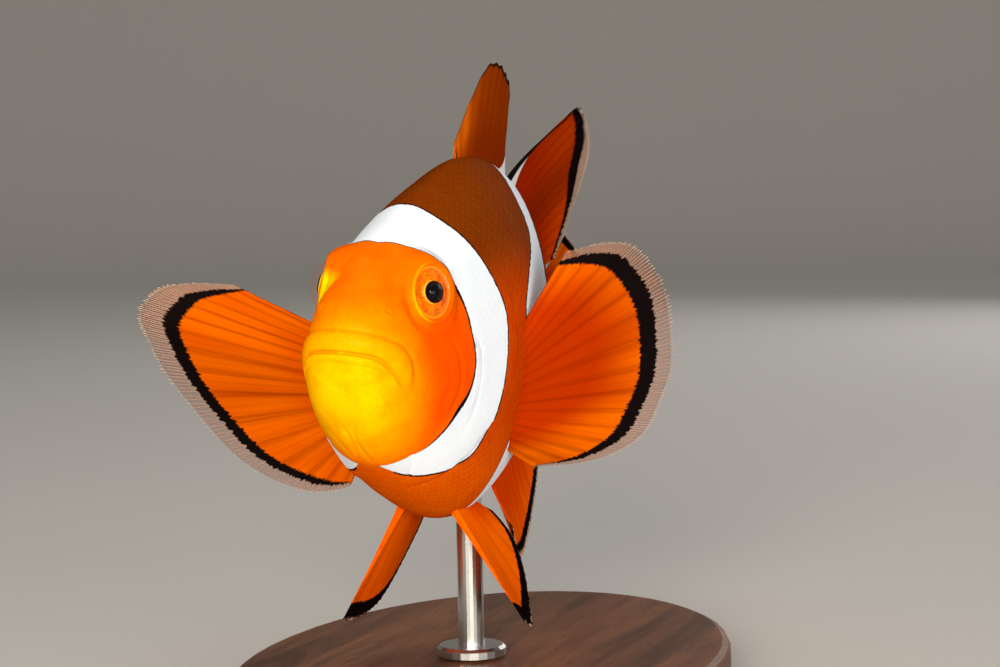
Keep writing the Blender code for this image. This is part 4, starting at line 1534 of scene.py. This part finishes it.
@dataclass(frozen=True)
class FinFinish:
    """Fin membrane over bony rays, cast in pigmented resin: matt, translucent only in its clear fringe."""

    name: str = "fin_membrane"
    streak: str = "7A1A00"
    # The dark red of the painted shade, where shade falls on a fin.
    dusk: str = "7A2202"
    black: str = "100A0A"
    white: str = "EFEDEA"
    fringe: str = "845238"
    tips: str = "D8AC90"
    roughness: float = 0.48
    clear: float = 0.24
    ray_clear: float = 0.60
    jag_mm: float = 0.32
    grain_depth: float = 0.010 * MM

    def make(self) -> bpy.types.Material:
        """Builds the material, which reads the fin's attributes.

        Returns:
            The material.
        """
        made, tree, shader = new_finish(self.name)
        read = {}
        for output, names in (
            ("Fac", ("inside", "fringe", "black", "white", "reach", "across", "ray", "dusk", "past_deep",
                     "streaks")),
            ("Color", ("deep", "bright")),
        ):
            for name in names:
                read[name] = add(tree, "ShaderNodeAttribute", attribute_name=name).outputs[output]
        along = add(tree, "ShaderNodeMath", {0: read["reach"], 1: 1.2}, operation="MULTIPLY")
        fine = add(tree, "ShaderNodeMath", {0: read["across"], 1: 9.0}, operation="MULTIPLY")
        grid = add(tree, "ShaderNodeCombineXYZ", {"X": fine, "Y": along})
        streaks = add(tree, "ShaderNodeTexNoise", {"Vector": grid, "Scale": 1.0, "Detail": 3.0})
        # The membrane darkens midway between two rays, and less between their twigs.
        midway = add(tree, "ShaderNodeMath", {0: read["across"], 1: 0.5}, operation="PINGPONG")
        groove = add(tree, "ShaderNodeMapRange", {"Value": midway, "From Min": 0.16, "From Max": 0.50},
                     interpolation_type="SMOOTHSTEP")
        quarter = add(tree, "ShaderNodeMath", {0: read["across"], 1: 4.0, 2: 0.5}, operation="MULTIPLY_ADD")
        comb = add(tree, "ShaderNodeMath", {0: quarter, 1: 0.5}, operation="PINGPONG")
        broad = add(tree, "ShaderNodeCombineXYZ", {"X": read["across"], "Y": along, "Z": 3.0})
        patches = add(tree, "ShaderNodeTexNoise", {"Vector": broad, "Scale": 0.9, "Detail": 2.0})
        # The edges of the black run in and out with the rays.
        jag = add(tree, "ShaderNodeMapRange", {"Value": streaks, "From Min": 0.28, "From Max": 0.72,
                                               "To Min": -self.jag_mm, "To Max": self.jag_mm})
        inside = add(tree, "ShaderNodeMath", {0: read["inside"], 1: jag}, operation="ADD")
        past = add(tree, "ShaderNodeMath", {0: inside, 1: read["fringe"]}, operation="SUBTRACT")
        left = add(tree, "ShaderNodeMath", {0: read["black"], 1: past}, operation="SUBTRACT")
        turned = {}
        for name, value, low, high in (
            ("fringe", past, 0.06, -0.06), ("black", left, -0.10, 0.10),
            ("white", read["white"], -0.12, 0.12), ("bright", read["past_deep"], -0.24, 0.24),
        ):
            turned[name] = add(tree, "ShaderNodeMapRange",
                               {"Value": value, "From Min": low, "From Max": high},
                               interpolation_type="SMOOTHSTEP")
        swayed = add(tree, "ShaderNodeMath", {0: turned["bright"], 1: patches}, operation="MULTIPLY")
        outward = add(tree, "ShaderNodeMath", {0: swayed, 1: 1.7}, operation="MULTIPLY", use_clamp=True)
        worn = add(tree, "ShaderNodeMapRange", {"Value": streaks, "From Min": 0.30, "From Max": 0.66,
                                                "To Min": 0.10, "To Max": 0.70})
        combed = add(tree, "ShaderNodeMath", {0: comb, 1: 0.5, 2: 0.12}, operation="MULTIPLY_ADD")
        both = add(tree, "ShaderNodeMath", {0: groove, 1: combed}, operation="MAXIMUM")
        dark = add(tree, "ShaderNodeMath", {0: worn, 1: both}, operation="MULTIPLY")
        off_ray = add(tree, "ShaderNodeMapRange", {"Value": read["ray"], "To Min": 1.0, "To Max": 0.15})
        drawn = add(tree, "ShaderNodeMath", {0: dark, 1: read["streaks"]}, operation="MULTIPLY")
        shown = add(tree, "ShaderNodeMath", {0: drawn, 1: off_ray}, operation="MULTIPLY")
        film = add(tree, "ShaderNodeMix", {0: read["ray"], 6: linear(self.fringe), 7: linear(self.tips)},
                   data_type="RGBA").outputs[2]
        # Over the deep orange go the bright orange, the dark streaks, the painted shade, the white, the black
        # and the clear fringe.
        colour = read["deep"]
        for share, over in (
            (outward, read["bright"]), (shown, linear(self.streak)), (read["dusk"], linear(self.dusk)),
            (turned["white"], linear(self.white)), (turned["black"], linear(self.black)),
            (turned["fringe"], film),
        ):
            colour = add(tree, "ShaderNodeMix", {0: share, 6: colour, 7: over}, data_type="RGBA").outputs[2]
        # A ray in the fringe hides a little more than the film between does.
        solid = add(tree, "ShaderNodeMapRange", {"Value": read["ray"], "To Min": self.clear,
                                                 "To Max": self.ray_clear})
        alpha = add(tree, "ShaderNodeMix", {0: turned["fringe"], 2: 1.0, 3: solid}, data_type="FLOAT")
        relief = add(tree, "ShaderNodeBump",
                     {"Strength": 0.5, "Distance": self.grain_depth, "Height": streaks})
        feed(tree, shader, {"Base Color": colour, "Alpha": alpha, "Normal": relief,
                            "Roughness": self.roughness, "Specular IOR Level": 0.0})
        return made


@dataclass(frozen=True)
class EyeFinish:
    """A glass eye: black pupil with a thin gold ring, streaked orange iris, and a skin-coloured edge."""

    name: str = "eye_painted_glass"
    iris: str = "F87402"
    streak: str = "A83404"
    cloud_mm: float = 0.55
    thread_mm: float = 0.14
    # The rings over the iris: a colour, the distance from the axis in mm where it ends, and whether it lies
    # outside of that. They are the groove round the iris, darkened as painted shade, the rim, the gold ring
    # and the pupil.
    rings: tuple[tuple[str, float, bool], ...] = (
        ("E86204", 1.84, True), ("FA8A08", 1.95, True), ("F0B030", 0.99, False), ("05060B", 0.93, False),
    )
    soft_mm: float = 0.03
    lens_mm: float = 1.05
    least_height_mm: float = 0.4

    def make(self) -> bpy.types.Material:
        """Builds the material, which reads the distance from the axis in millimetres.

        Returns:
            The material.
        """
        made, tree, shader = new_finish(self.name)
        place = add(tree, "ShaderNodeTexCoord").outputs["Object"]
        out = add(tree, "ShaderNodeAttribute", attribute_name="out_mm").outputs["Fac"]
        clouds = add(tree, "ShaderNodeTexNoise", {"Vector": place, "Scale": 1.0 / (self.cloud_mm * MM),
                                                  "Detail": 4.0})
        threads = add(tree, "ShaderNodeTexNoise", {"Vector": place, "Scale": 1.0 / (self.thread_mm * MM),
                                                   "Detail": 2.0})
        worn = add(tree, "ShaderNodeMath", {0: clouds, 1: threads}, operation="MULTIPLY")
        streaked = add(tree, "ShaderNodeMapRange", {"Value": worn, "From Min": 0.21, "From Max": 0.34,
                                                    "To Max": 0.85})
        colour = add(tree, "ShaderNodeMix", {0: streaked, 6: linear(self.iris), 7: linear(self.streak)},
                     data_type="RGBA").outputs[2]
        for code, edge, outside in self.rings:
            soft = self.soft_mm if outside else -self.soft_mm
            share = add(tree, "ShaderNodeMapRange",
                        {"Value": out, "From Min": edge - soft, "From Max": edge + soft},
                        interpolation_type="SMOOTHSTEP")
            colour = add(tree, "ShaderNodeMix", {0: share, 6: colour, 7: linear(code)},
                         data_type="RGBA").outputs[2]
        # The pupil shades as the round lens that fills it.
        square = add(tree, "ShaderNodeMath", {0: out, 1: out}, operation="MULTIPLY")
        under = add(tree, "ShaderNodeMath", {0: self.lens_mm**2, 1: square}, operation="SUBTRACT")
        cap = add(tree, "ShaderNodeMath", {0: under, 1: self.least_height_mm**2}, operation="MAXIMUM")
        height = add(tree, "ShaderNodeMath", {0: cap}, operation="SQRT")
        lens = add(tree, "ShaderNodeBump", {"Strength": 1.0, "Distance": MM, "Height": height})
        feed(tree, shader, {"Base Color": colour, "Coat Normal": lens, "Roughness": 0.35,
                            "Specular IOR Level": 0.0, "Coat Weight": 0.25, "Coat Roughness": 0.05})
        return made


@dataclass(frozen=True)
class ClearFinish:
    """Clear polished resin, for the thin domes over the eyes: clear face on, and tan towards its outline."""

    name: str = "cornea_clear_resin"
    # The tan is a painted reflection, shown more towards the dome's outline.
    tan: str = "B0764C"
    film: float = 0.0
    edge: float = 0.85

    def make(self) -> bpy.types.Material:
        """Builds the material, which hides more of what is behind it towards its outline.

        Returns:
            The material.
        """
        made, tree, shader = new_finish(self.name)
        facing = add(tree, "ShaderNodeLayerWeight", {"Blend": 0.09}).outputs["Facing"]
        alpha = add(tree, "ShaderNodeMapRange", {"Value": facing, "To Min": self.film, "To Max": self.edge},
                    interpolation_type="SMOOTHSTEP")
        feed(tree, shader, {"Base Color": linear(self.tan), "Alpha": alpha, "Roughness": 0.03,
                            "Specular IOR Level": 0.5})
        return made


@dataclass
class Eye:
    """One eye: a ball with its pupil, iris and rim, under a clear dome."""

    side: Side
    seat: EyeSeat
    stance: Stance
    # The pupil looks further forward than the orbit: within the first distance fully, past the second not.
    gaze_deg: float = 0.0
    gaze_mm: tuple[float, float] = (1.05, 1.72)
    # The ball from the middle of the pupil back to its rear pole, as (distance from the axis, height) in mm.
    ball: Knots = (
        (0.0, 1.93), (0.35, 1.92), (0.65, 1.87), (0.85, 1.79), (0.92, 1.74), (0.97, 1.66), (1.02, 1.58),
        (1.10, 1.54), (1.30, 1.52), (1.50, 1.50), (1.70, 1.46), (1.80, 1.44), (1.86, 1.44), (1.92, 1.47),
        (1.98, 1.52), (2.06, 1.55), (2.15, 1.50), (2.22, 1.38), (2.29, 1.08), (2.36, 0.60), (2.38, 0.0),
        (2.20, -0.9), (1.50, -1.8), (0.70, -2.2), (0.0, -2.3),
    )
    dome_edge: tuple[float, float] = (2.08, 1.56)
    dome_top: float = 2.56
    wall: float = 0.06
    around: int = 72

    def spin(self, name: str, profile: Array, gaze: float) -> bpy.types.Mesh:
        """Turns a profile about the eye's axis into a closed mesh.

        Args:
            name: The mesh's name.
            profile: (distance, height) rows in millimetres, from one pole to the other.
            gaze: How far its middle is tilted to look forward, in degrees.

        Returns:
            The mesh, with the distance from the axis stored at each vertex.
        """
        centre, axis = self.seat.frame(self.side)
        first = unit(np.cross(axis, np.array([0.0, 0.0, 1.0])))
        second = np.cross(axis, first)
        angle = np.linspace(0.0, 2.0 * np.pi, self.around, endpoint=False)
        inner = profile[1:-1]
        wheel = np.cos(angle)[:, None] * first + np.sin(angle)[:, None] * second
        tilt = -math.tan(math.radians(gaze)) * self.side.value
        share = (1.0 - smooth(*self.gaze_mm, inner[:, 0])) * (inner[:, 1] > 0.0)
        height = inner[:, 1][:, None] + (tilt * share * inner[:, 0])[:, None] * np.cos(angle)
        rings = inner[:, 0][:, None, None] * wheel + height[..., None] * axis
        poles = profile[[0, -1], 1][:, None] * axis
        points = centre + np.concatenate([rings.reshape(-1, 3), poles]) / MM_PER_SHARE
        count, rows = self.around, len(inner)
        faces = ring_quads(rows, count)[:, [0, 3, 2, 1]].tolist()
        top, end, last = rows * count, rows * count + 1, (rows - 1) * count
        for k in range(count):
            after = (k + 1) % count
            faces.append((top, k, after))
            faces.append((end, last + after, last + k))
        mesh = mesh_from(name, self.stance.lay(points), faces)
        store(mesh, "out_mm", np.append(np.repeat(inner[:, 0], count), [0.0, 0.0]))
        return mesh

    def rounded(self) -> Array:
        """Draws the ball's profile smooth through the named points.

        Returns:
            Distances from the axis and heights along it, a row for each point.
        """
        rows = curve(self.ball, 3 * (len(self.ball) - 1) + 1)
        rows[:, 0] = np.maximum(rows[:, 0], 0.0)
        return rows

    def dome(self) -> Array:
        """Draws the clear dome's profile: out over the top, down to the edge and back under it.

        Returns:
            Distances from the axis and heights along it, a row for each point.
        """
        edge, foot = self.dome_edge
        height = self.dome_top - foot
        radius = (edge**2 + height**2) / (2 * height)
        away = edge * np.sin(np.linspace(0.0, np.pi / 2, 16))
        outer = np.stack([away, foot + height - radius + np.sqrt(radius**2 - away**2)], -1)
        inner = outer[::-1] * np.array([(edge - self.wall) / edge, 1.0]) - np.array([0.0, self.wall])
        return np.concatenate([outer, inner])

    def build(self, painted: bpy.types.Material, clear: bpy.types.Material) -> list[bpy.types.Object]:
        """Makes the eye.

        Args:
            painted: The ball's material.
            clear: The dome's material.

        Returns:
            The ball, in place of its solid, and the dome.
        """
        word = self.side.word
        made = []
        for name, profile, gaze, finish in (
            (f"eye_{word}_ball", self.rounded(), self.gaze_deg, painted),
            (f"eye_{word}_dome", self.dome(), 0.0, clear),
        ):
            mesh = self.spin(name, profile, gaze)
            mesh.materials.append(finish)
            piece = link_in(name, mesh)
            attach(piece, "root")
            made.append(piece)
        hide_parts(f"eye_{word}")
        return made


@dataclass(frozen=True)
class WoodFinish:
    """Oiled walnut, sanded smooth: satin, with long grain along the base and short dark pores."""

    name: str = "walnut_oiled"
    light: str = "8A5A3A"
    dark: str = "4A2C1A"
    ring_mm: float = 3.2
    pore_mm: float = 0.45
    pore_depth: float = 0.05 * MM
    stretch: float = 9.0

    def make(self) -> bpy.types.Material:
        """Builds the material.

        Returns:
            The material.
        """
        made, tree, shader = new_finish(self.name)
        place = add(tree, "ShaderNodeTexCoord").outputs["Object"]
        long = add(tree, "ShaderNodeMapping", {"Vector": place, "Scale": (1.0, 1.0 / self.stretch, 1.0)})
        rings = add(tree, "ShaderNodeTexNoise", {"Vector": long, "Scale": 1.0 / (self.ring_mm * MM),
                                                 "Detail": 5.0, "Roughness": 0.6, "Distortion": 0.6})
        pores = add(tree, "ShaderNodeTexNoise", {"Vector": long, "Scale": 1.0 / (self.pore_mm * MM),
                                                 "Detail": 2.0})
        share = add(tree, "ShaderNodeMapRange", {"Value": rings, "From Min": 0.32, "From Max": 0.68})
        grain = add(tree, "ShaderNodeMix", {0: share, 6: linear(self.light), 7: linear(self.dark)},
                    data_type="RGBA")
        holes = add(tree, "ShaderNodeMapRange", {"Value": pores, "From Min": 0.60, "From Max": 0.70,
                                                 "To Max": 0.55})
        colour = add(tree, "ShaderNodeMix", {0: holes, 6: grain.outputs[2], 7: linear(self.dark)},
                     data_type="RGBA")
        relief = add(tree, "ShaderNodeBump",
                     {"Strength": 0.25, "Distance": self.pore_depth, "Height": pores})
        feed(tree, shader, {"Base Color": colour.outputs[2], "Normal": relief, "Roughness": 0.5,
                            "Specular IOR Level": 0.3})
        return made


@dataclass(frozen=True)
class SteelFinish:
    """Stainless steel rod, turned and brushed round: bright, with fine rings that blur its gloss."""

    name: str = "stainless_brushed"
    colour: str = "C8C8C6"
    line_mm: float = 0.12
    line_depth: float = 0.004 * MM

    def make(self) -> bpy.types.Material:
        """Builds the material.

        Returns:
            The material.
        """
        made, tree, shader = new_finish(self.name)
        place = add(tree, "ShaderNodeTexCoord").outputs["Object"]
        flat = add(tree, "ShaderNodeMapping", {"Vector": place, "Scale": (0.08, 0.08, 1.0)})
        lines = add(tree, "ShaderNodeTexNoise", {"Vector": flat, "Scale": 1.0 / (self.line_mm * MM),
                                                 "Detail": 2.0})
        rough = add(tree, "ShaderNodeMapRange", {"Value": lines, "To Min": 0.22, "To Max": 0.40})
        relief = add(tree, "ShaderNodeBump", {"Strength": 0.2, "Distance": self.line_depth, "Height": lines})
        feed(tree, shader, {"Base Color": linear(self.colour), "Metallic": 1.0, "Roughness": rough,
                            "Normal": relief})
        return made


@dataclass
class Studio:
    """The pale floor and its raised edge, the soft lamps and the camera."""

    # The floor's rings and its flat part's radius, the radius of its upward bend, and the wall's height.
    floor_rings: tuple[float, ...] = (0.15, 0.4)
    floor_radius: float = 0.75
    cove_radius: float = 0.35
    wall_height: float = 0.9
    floor_colour: str = "D8D4CE"
    world_colour: str = "FFFFFF"
    world_strength: float = 0.24
    place: Triple = (0.07179595, -0.21843687, 0.05264119)
    forward: Triple = (-0.30421515, 0.94945912, -0.0773335)
    right: Triple = (0.95258579, 0.30369802, -0.01864875)
    lens: float = 90.0
    aim: Triple = (0.0, -0.010, 0.034)
    # Each lamp's name, place, width, power in watts, spread in degrees and colour. The key and the low lamp
    # are narrowed by a honeycomb, so that they light the fish and little of the floor.
    lamps: tuple[tuple[str, Triple, float, float, float, str], ...] = (
        ("key", (0.07, -0.45, 0.13), 0.18, 0.455, 80.0, "FFF6E6"),
        ("low", (0.22, -0.30, 0.015), 0.20, 0.215, 80.0, "FFF6E6"),
        ("fill", (0.42, -0.20, 0.10), 0.30, 0.5, 180.0, "F4F8FF"),
        ("top", (-0.10, 0.00, 0.55), 0.40, 0.45, 180.0, "FFFFFF"),
        ("back", (0.10, 0.50, 0.20), 0.30, 0.40, 180.0, "FFFFFF"),
    )

    def floor(self) -> bpy.types.Object:
        """Makes the floor, which turns up all round far outside every view.

        Returns:
            The floor.
        """
        bend = [(self.floor_radius + self.cove_radius * math.sin(a), self.cove_radius * (1 - math.cos(a)))
                for a in np.linspace(0.0, np.pi / 2, 12)]
        profile = [(radius, 0.0) for radius in self.floor_rings] + bend + [(bend[-1][0], self.wall_height)]
        count = 64
        points = []
        for radius, height in profile:
            for k in range(count):
                turn = 2 * math.pi * k / count
                points.append((radius * math.cos(turn), radius * math.sin(turn), height))
        faces = ring_quads(len(profile), count)[:, [0, 3, 2, 1]].tolist() + [tuple(range(count))]
        made = link_in("studio_floor", mesh_from("studio_floor", np.array(points), faces))
        # Matt backdrop paper, which gives a soft shadow and no shine.
        paper, tree, shader = new_finish("paper_matt")
        feed(tree, shader, {"Base Color": linear(self.floor_colour), "Roughness": 0.9})
        made.data.materials.append(paper)
        return made

    def camera(self) -> bpy.types.Object:
        """Makes the camera.

        Returns:
            The camera.
        """
        data = bpy.data.cameras.new("camera")
        data.lens, data.sensor_width = self.lens, 36.0
        data.clip_start, data.clip_end = 0.01, 20.0
        made = bpy.data.objects.new("camera", data)
        forward, right = Vector(self.forward).normalized(), Vector(self.right).normalized()
        upward = right.cross(forward)
        turned = Matrix((right, upward, -forward)).transposed().to_4x4()
        made.matrix_world = Matrix.Translation(self.place) @ turned
        bpy.context.scene.collection.objects.link(made)
        bpy.context.scene.camera = made
        return made

    def light(self) -> None:
        """Makes the lamps and the soft light from all round."""
        for name, place, width, power, spread_deg, colour in self.lamps:
            data = bpy.data.lights.new(name, "AREA")
            data.shape, data.size, data.energy, data.spread = "DISK", width, power, math.radians(spread_deg)
            data.color = linear(colour)[:3]
            lamp = bpy.data.objects.new(name, data)
            lamp.location = place
            lamp.rotation_euler = (Vector(self.aim) - Vector(place)).to_track_quat("-Z", "Y").to_euler()
            bpy.context.scene.collection.objects.link(lamp)
        world = bpy.data.worlds.new("studio")
        world.use_nodes = True
        feed(world.node_tree, world.node_tree.nodes["Background"],
             {"Color": linear(self.world_colour), "Strength": self.world_strength})
        bpy.context.scene.world = world
        bpy.context.scene.view_settings.view_transform = "Standard"


def fins(body: Body, stance: Stance) -> list[Fin]:
    """Names every fin with its shape and markings.

    Args:
        body: The form that they stand on.
        stance: The pose.

    Returns:
        The fins.
    """
    left_length = ((0.0, 0.160), (0.10, 0.206), (0.22, 0.250), (0.36, 0.270), (0.52, 0.262),
                   (0.70, 0.224), (0.85, 0.170), (1.0, 0.100))
    right_length = ((0.0, 0.165), (0.10, 0.217), (0.22, 0.264), (0.36, 0.280), (0.52, 0.255),
                    (0.70, 0.206), (0.85, 0.142), (1.0, 0.074))
    left_pelvic = ((0.0, 0.194), (0.3, 0.226), (0.6, 0.218), (0.85, 0.164), (1.0, 0.086))
    right_pelvic = ((0.0, 0.224), (0.3, 0.240), (0.6, 0.222), (0.85, 0.170), (1.0, 0.092))
    left_rise = ((0.0, 51.0), (0.18, 42.0), (0.36, 26.0), (0.55, 7.0), (0.8, -10.0), (1.0, -20.0))
    left_sweep = ((0.0, 70.0), (0.1, 59.0), (0.3, 54.0), (0.6, 53.0), (0.8, 55.0), (1.0, 76.0))
    right_rise = ((0.0, 22.0), (0.3, 13.0), (0.5, 2.0), (0.65, -15.0), (0.8, -36.0), (1.0, -60.0))
    right_sweep = ((0.0, -18.0), (0.4, -14.0), (0.7, 14.0), (1.0, 34.0))
    # The left pectoral stays deep orange further from its root than the right one and is darkened near its
    # root: partly painted shade, where that fin turns away from the light.
    left_pectoral = Pattern(
        fringe=((0.0, 0.9), (0.10, 1.2), (0.25, 1.5), (0.5, 1.8), (0.75, 1.6), (0.9, 0.9), (1.0, 0.3)),
        black=((0.0, 0.5), (0.10, 1.4), (0.25, 2.0), (0.5, 1.9), (0.7, 1.6), (0.85, 0.9), (0.94, 0.2),
               (1.0, 0.0)),
        dusk=((0.0, 0.05), (0.3, 0.20), (0.6, 0.18), (0.8, 0.05), (1.0, 0.0)),
        deep_to=((0.0, 0.66), (0.3, 0.76), (0.55, 0.72), (0.75, 0.50), (1.0, 0.35)),
        deep="B43000", bright="EC6C00",
    )
    right_pectoral = Pattern(
        fringe=((0.0, 0.6), (0.10, 1.4), (0.25, 2.1), (0.5, 2.0), (0.75, 1.6), (0.9, 0.9), (1.0, 0.3)),
        black=((0.0, 0.2), (0.10, 1.0), (0.25, 1.5), (0.5, 1.4), (0.7, 1.2), (0.85, 0.9), (0.94, 0.4),
               (1.0, 0.0)),
        deep_to=((0.0, 0.34), (1.0, 0.18)),
        deep="BC3800", bright="DE6000",
    )
    pelvic = Pattern(
        fringe=((0.0, 0.05), (1.0, 0.05)),
        black=((0.0, 2.2), (0.25, 2.4), (0.5, 2.2), (0.8, 1.8), (1.0, 1.8)),
        deep_to=((0.0, -0.2), (0.5, 0.1), (1.0, 0.6)),
        deep="E84A00", bright="FF6A00", streaks=0.35,
    )
    # The painted shade of each fin darkens its orange where shade falls on it: most on the dorsal fins, some
    # on the tail and the left pectoral. The soft dorsal's darker oranges are partly painted shade too.
    made = [
        Fin(
            "fin_dorsal_spiny", "dorsal_fin_spiny",
            MedianBlade(
                body, 1, 0.342, 0.585,
                ((0.342, 0.022), (0.368, 0.076), (0.405, 0.132), (0.445, 0.149), (0.485, 0.149),
                 (0.53, 0.132), (0.585, 0.040)),
                ((0.342, 23.0), (0.45, 32.0), (0.53, 34.0), (0.585, 22.0)), -0.006, spines=11,
            ),
            Pattern(((0.0, 0.0), (1.0, 0.0)),
                    ((0.0, 0.0), (0.20, 0.10), (0.40, 0.35), (0.6, 0.5), (1.0, 0.35)),
                    ((0.0, -2.0), (0.62, -2.0), (0.72, 0.6), (0.85, 2.2), (1.0, 4.5)),
                    ((0.0, 0.20), (0.10, 0.30), (0.18, 0.65), (0.3, 0.80), (1.0, 0.82)), deep="B04A08",
                    bright="E06C08"),
            stance, 11, rows=34, branching=False, ray_mm=0.17, root_mm=0.7, fleshy_mm=0.3, scallop=0.0,
        ),
        Fin(
            "fin_dorsal_soft", "dorsal_fin_soft",
            MedianBlade(
                body, 1, 0.588, 0.865,
                ((0.588, 0.096), (0.62, 0.138), (0.66, 0.160), (0.70, 0.166), (0.78, 0.150), (0.865, 0.064)),
                ((0.588, 20.0), (0.65, 36.0), (0.72, 46.0), (0.865, 62.0)), 0.078,
                ((0.0, 0.92), (0.25, 1.02), (0.5, 0.98), (1.0, 0.35)),
            ),
            Pattern(((0.0, -0.2), (0.15, 0.0), (0.3, 0.3), (0.42, 0.8), (0.5, 1.2), (0.7, 0.9), (1.0, 0.3)),
                    ((0.0, 0.45), (0.05, 0.45), (0.15, 0.8), (0.3, 1.2), (0.42, 1.5), (0.6, 1.3), (0.8, 0.6),
                     (1.0, 0.4)),
                    ((0.0, 4.2), (0.04, 3.8), (0.09, 2.4), (0.15, 0.6), (0.22, -1.0), (1.0, -3.0)),
                    ((0.0, 0.15), (0.25, 0.25), (0.4, 0.65), (0.55, 0.70), (0.72, 0.3), (1.0, 0.3)),
                    ((0.0, 0.6), (1.0, 0.6)), 20.0, deep="B02600", bright="D24400"),
            stance, 14, rows=40, root_mm=0.7, fleshy_mm=0.5,
        ),
        Fin(
            "fin_anal", "anal_fin",
            MedianBlade(
                body, -1, 0.605, 0.860,
                ((0.605, 0.086), (0.65, 0.150), (0.71, 0.190), (0.78, 0.178), (0.860, 0.110)),
                ((0.605, 22.0), (0.72, 36.0), (0.860, 60.0)), 0.036,
            ),
            Pattern(((0.0, 0.15), (0.5, 0.4), (1.0, 0.3)), ((0.0, 0.4), (0.4, 1.2), (0.7, 1.2), (1.0, 0.8)),
                    deep_to=((0.0, 0.7), (1.0, 0.7)), deep="EC4600", bright="FF6400", streaks=0.5),
            stance, 13, rows=40, root_mm=0.7, fleshy_mm=0.5,
        ),
        Fin(
            "fin_tail", "tail_fin", TailBlade(),
            Pattern(((0.0, 0.5), (0.5, 1.0), (1.0, 0.5)),
                    ((0.0, 1.6), (0.25, 1.2), (0.5, 1.3), (0.75, 1.2), (1.0, 1.6)),
                    dusk=((0.0, 0.3), (1.0, 0.3))),
            stance, 15, rows=48, root_mm=0.8, fleshy_mm=0.4,
        ),
    ]
    for side in Side:
        left = side is Side.LEFT
        length = left_length if left else right_length
        rise, sweep = (left_rise, left_sweep) if left else (right_rise, right_sweep)
        made.append(Fin(
            f"fin_pectoral_{side.word}", f"pectoral_fin_{side.word}",
            FanBlade(side, (0.088, 0.322, -0.006), (0.076, 0.334, -0.102), length, rise, sweep,
                     12.0 * side.value, 0.012, 0.0022),
            left_pectoral if left else right_pectoral, stance, 16, rows=56, forks=(0.32, 0.54, 0.74),
            scallop=0.012,
        ))
        made.append(Fin(
            f"fin_pelvic_{side.word}", f"pelvic_fin_{side.word}",
            FanBlade(side, (0.028, 0.328, -0.184), (0.028, 0.398, -0.184),
                     left_pelvic if left else right_pelvic, ((0.0, -50.0), (0.5, -40.0), (1.0, -14.0)),
                     ((0.0, 47.5 + 3.5 * side.value), (0.4, 63.5 + 3.5 * side.value),
                      (1.0, 80.0 + 2.0 * side.value))),
            pelvic, stance, 7, rows=46, ray_mm=0.17, root_mm=0.8, fleshy_mm=0.5, scallop=0.008,
        ))
    return made


def main() -> None:
    """Builds the stage, the fish and its stand in order, and reports each piece."""
    logging.basicConfig(level=logging.INFO, format="%(message)s")
    studio = Studio()
    studio.camera()
    studio.floor()
    studio.light()
    body, seat, stance = Body(), EyeSeat(), Stance()
    skin_finish = SkinFinish().make()
    skin = Skin(body, HeadRelief(body, seat), Markings(body, seat), stance)
    pieces = [skin.build(skin_finish)]
    for side in Side:
        pieces.append(ScaleCoat(skin, side).build(pieces[0], skin_finish))
    painted, clear = EyeFinish().make(), ClearFinish().make()
    pieces += Eye(Side.LEFT, seat, stance, gaze_deg=10.0).build(painted, clear)
    pieces += Eye(Side.RIGHT, seat, stance, gaze_deg=-10.0).build(painted, clear)
    membrane = FinFinish().make()
    pieces += [fin.build(membrane) for fin in fins(body, stance)]
    for node, finish in (("stand_base", WoodFinish().make()), ("stand_rod", SteelFinish().make())):
        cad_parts[node].material_slots[0].material = finish
        pieces.append(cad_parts[node])
    for piece in pieces:
        count = sum(len(face.vertices) - 2 for face in piece.data.polygons)
        LOG.info("%s: %d triangles", piece.name, count)


if __name__ == "__main__":
    main()
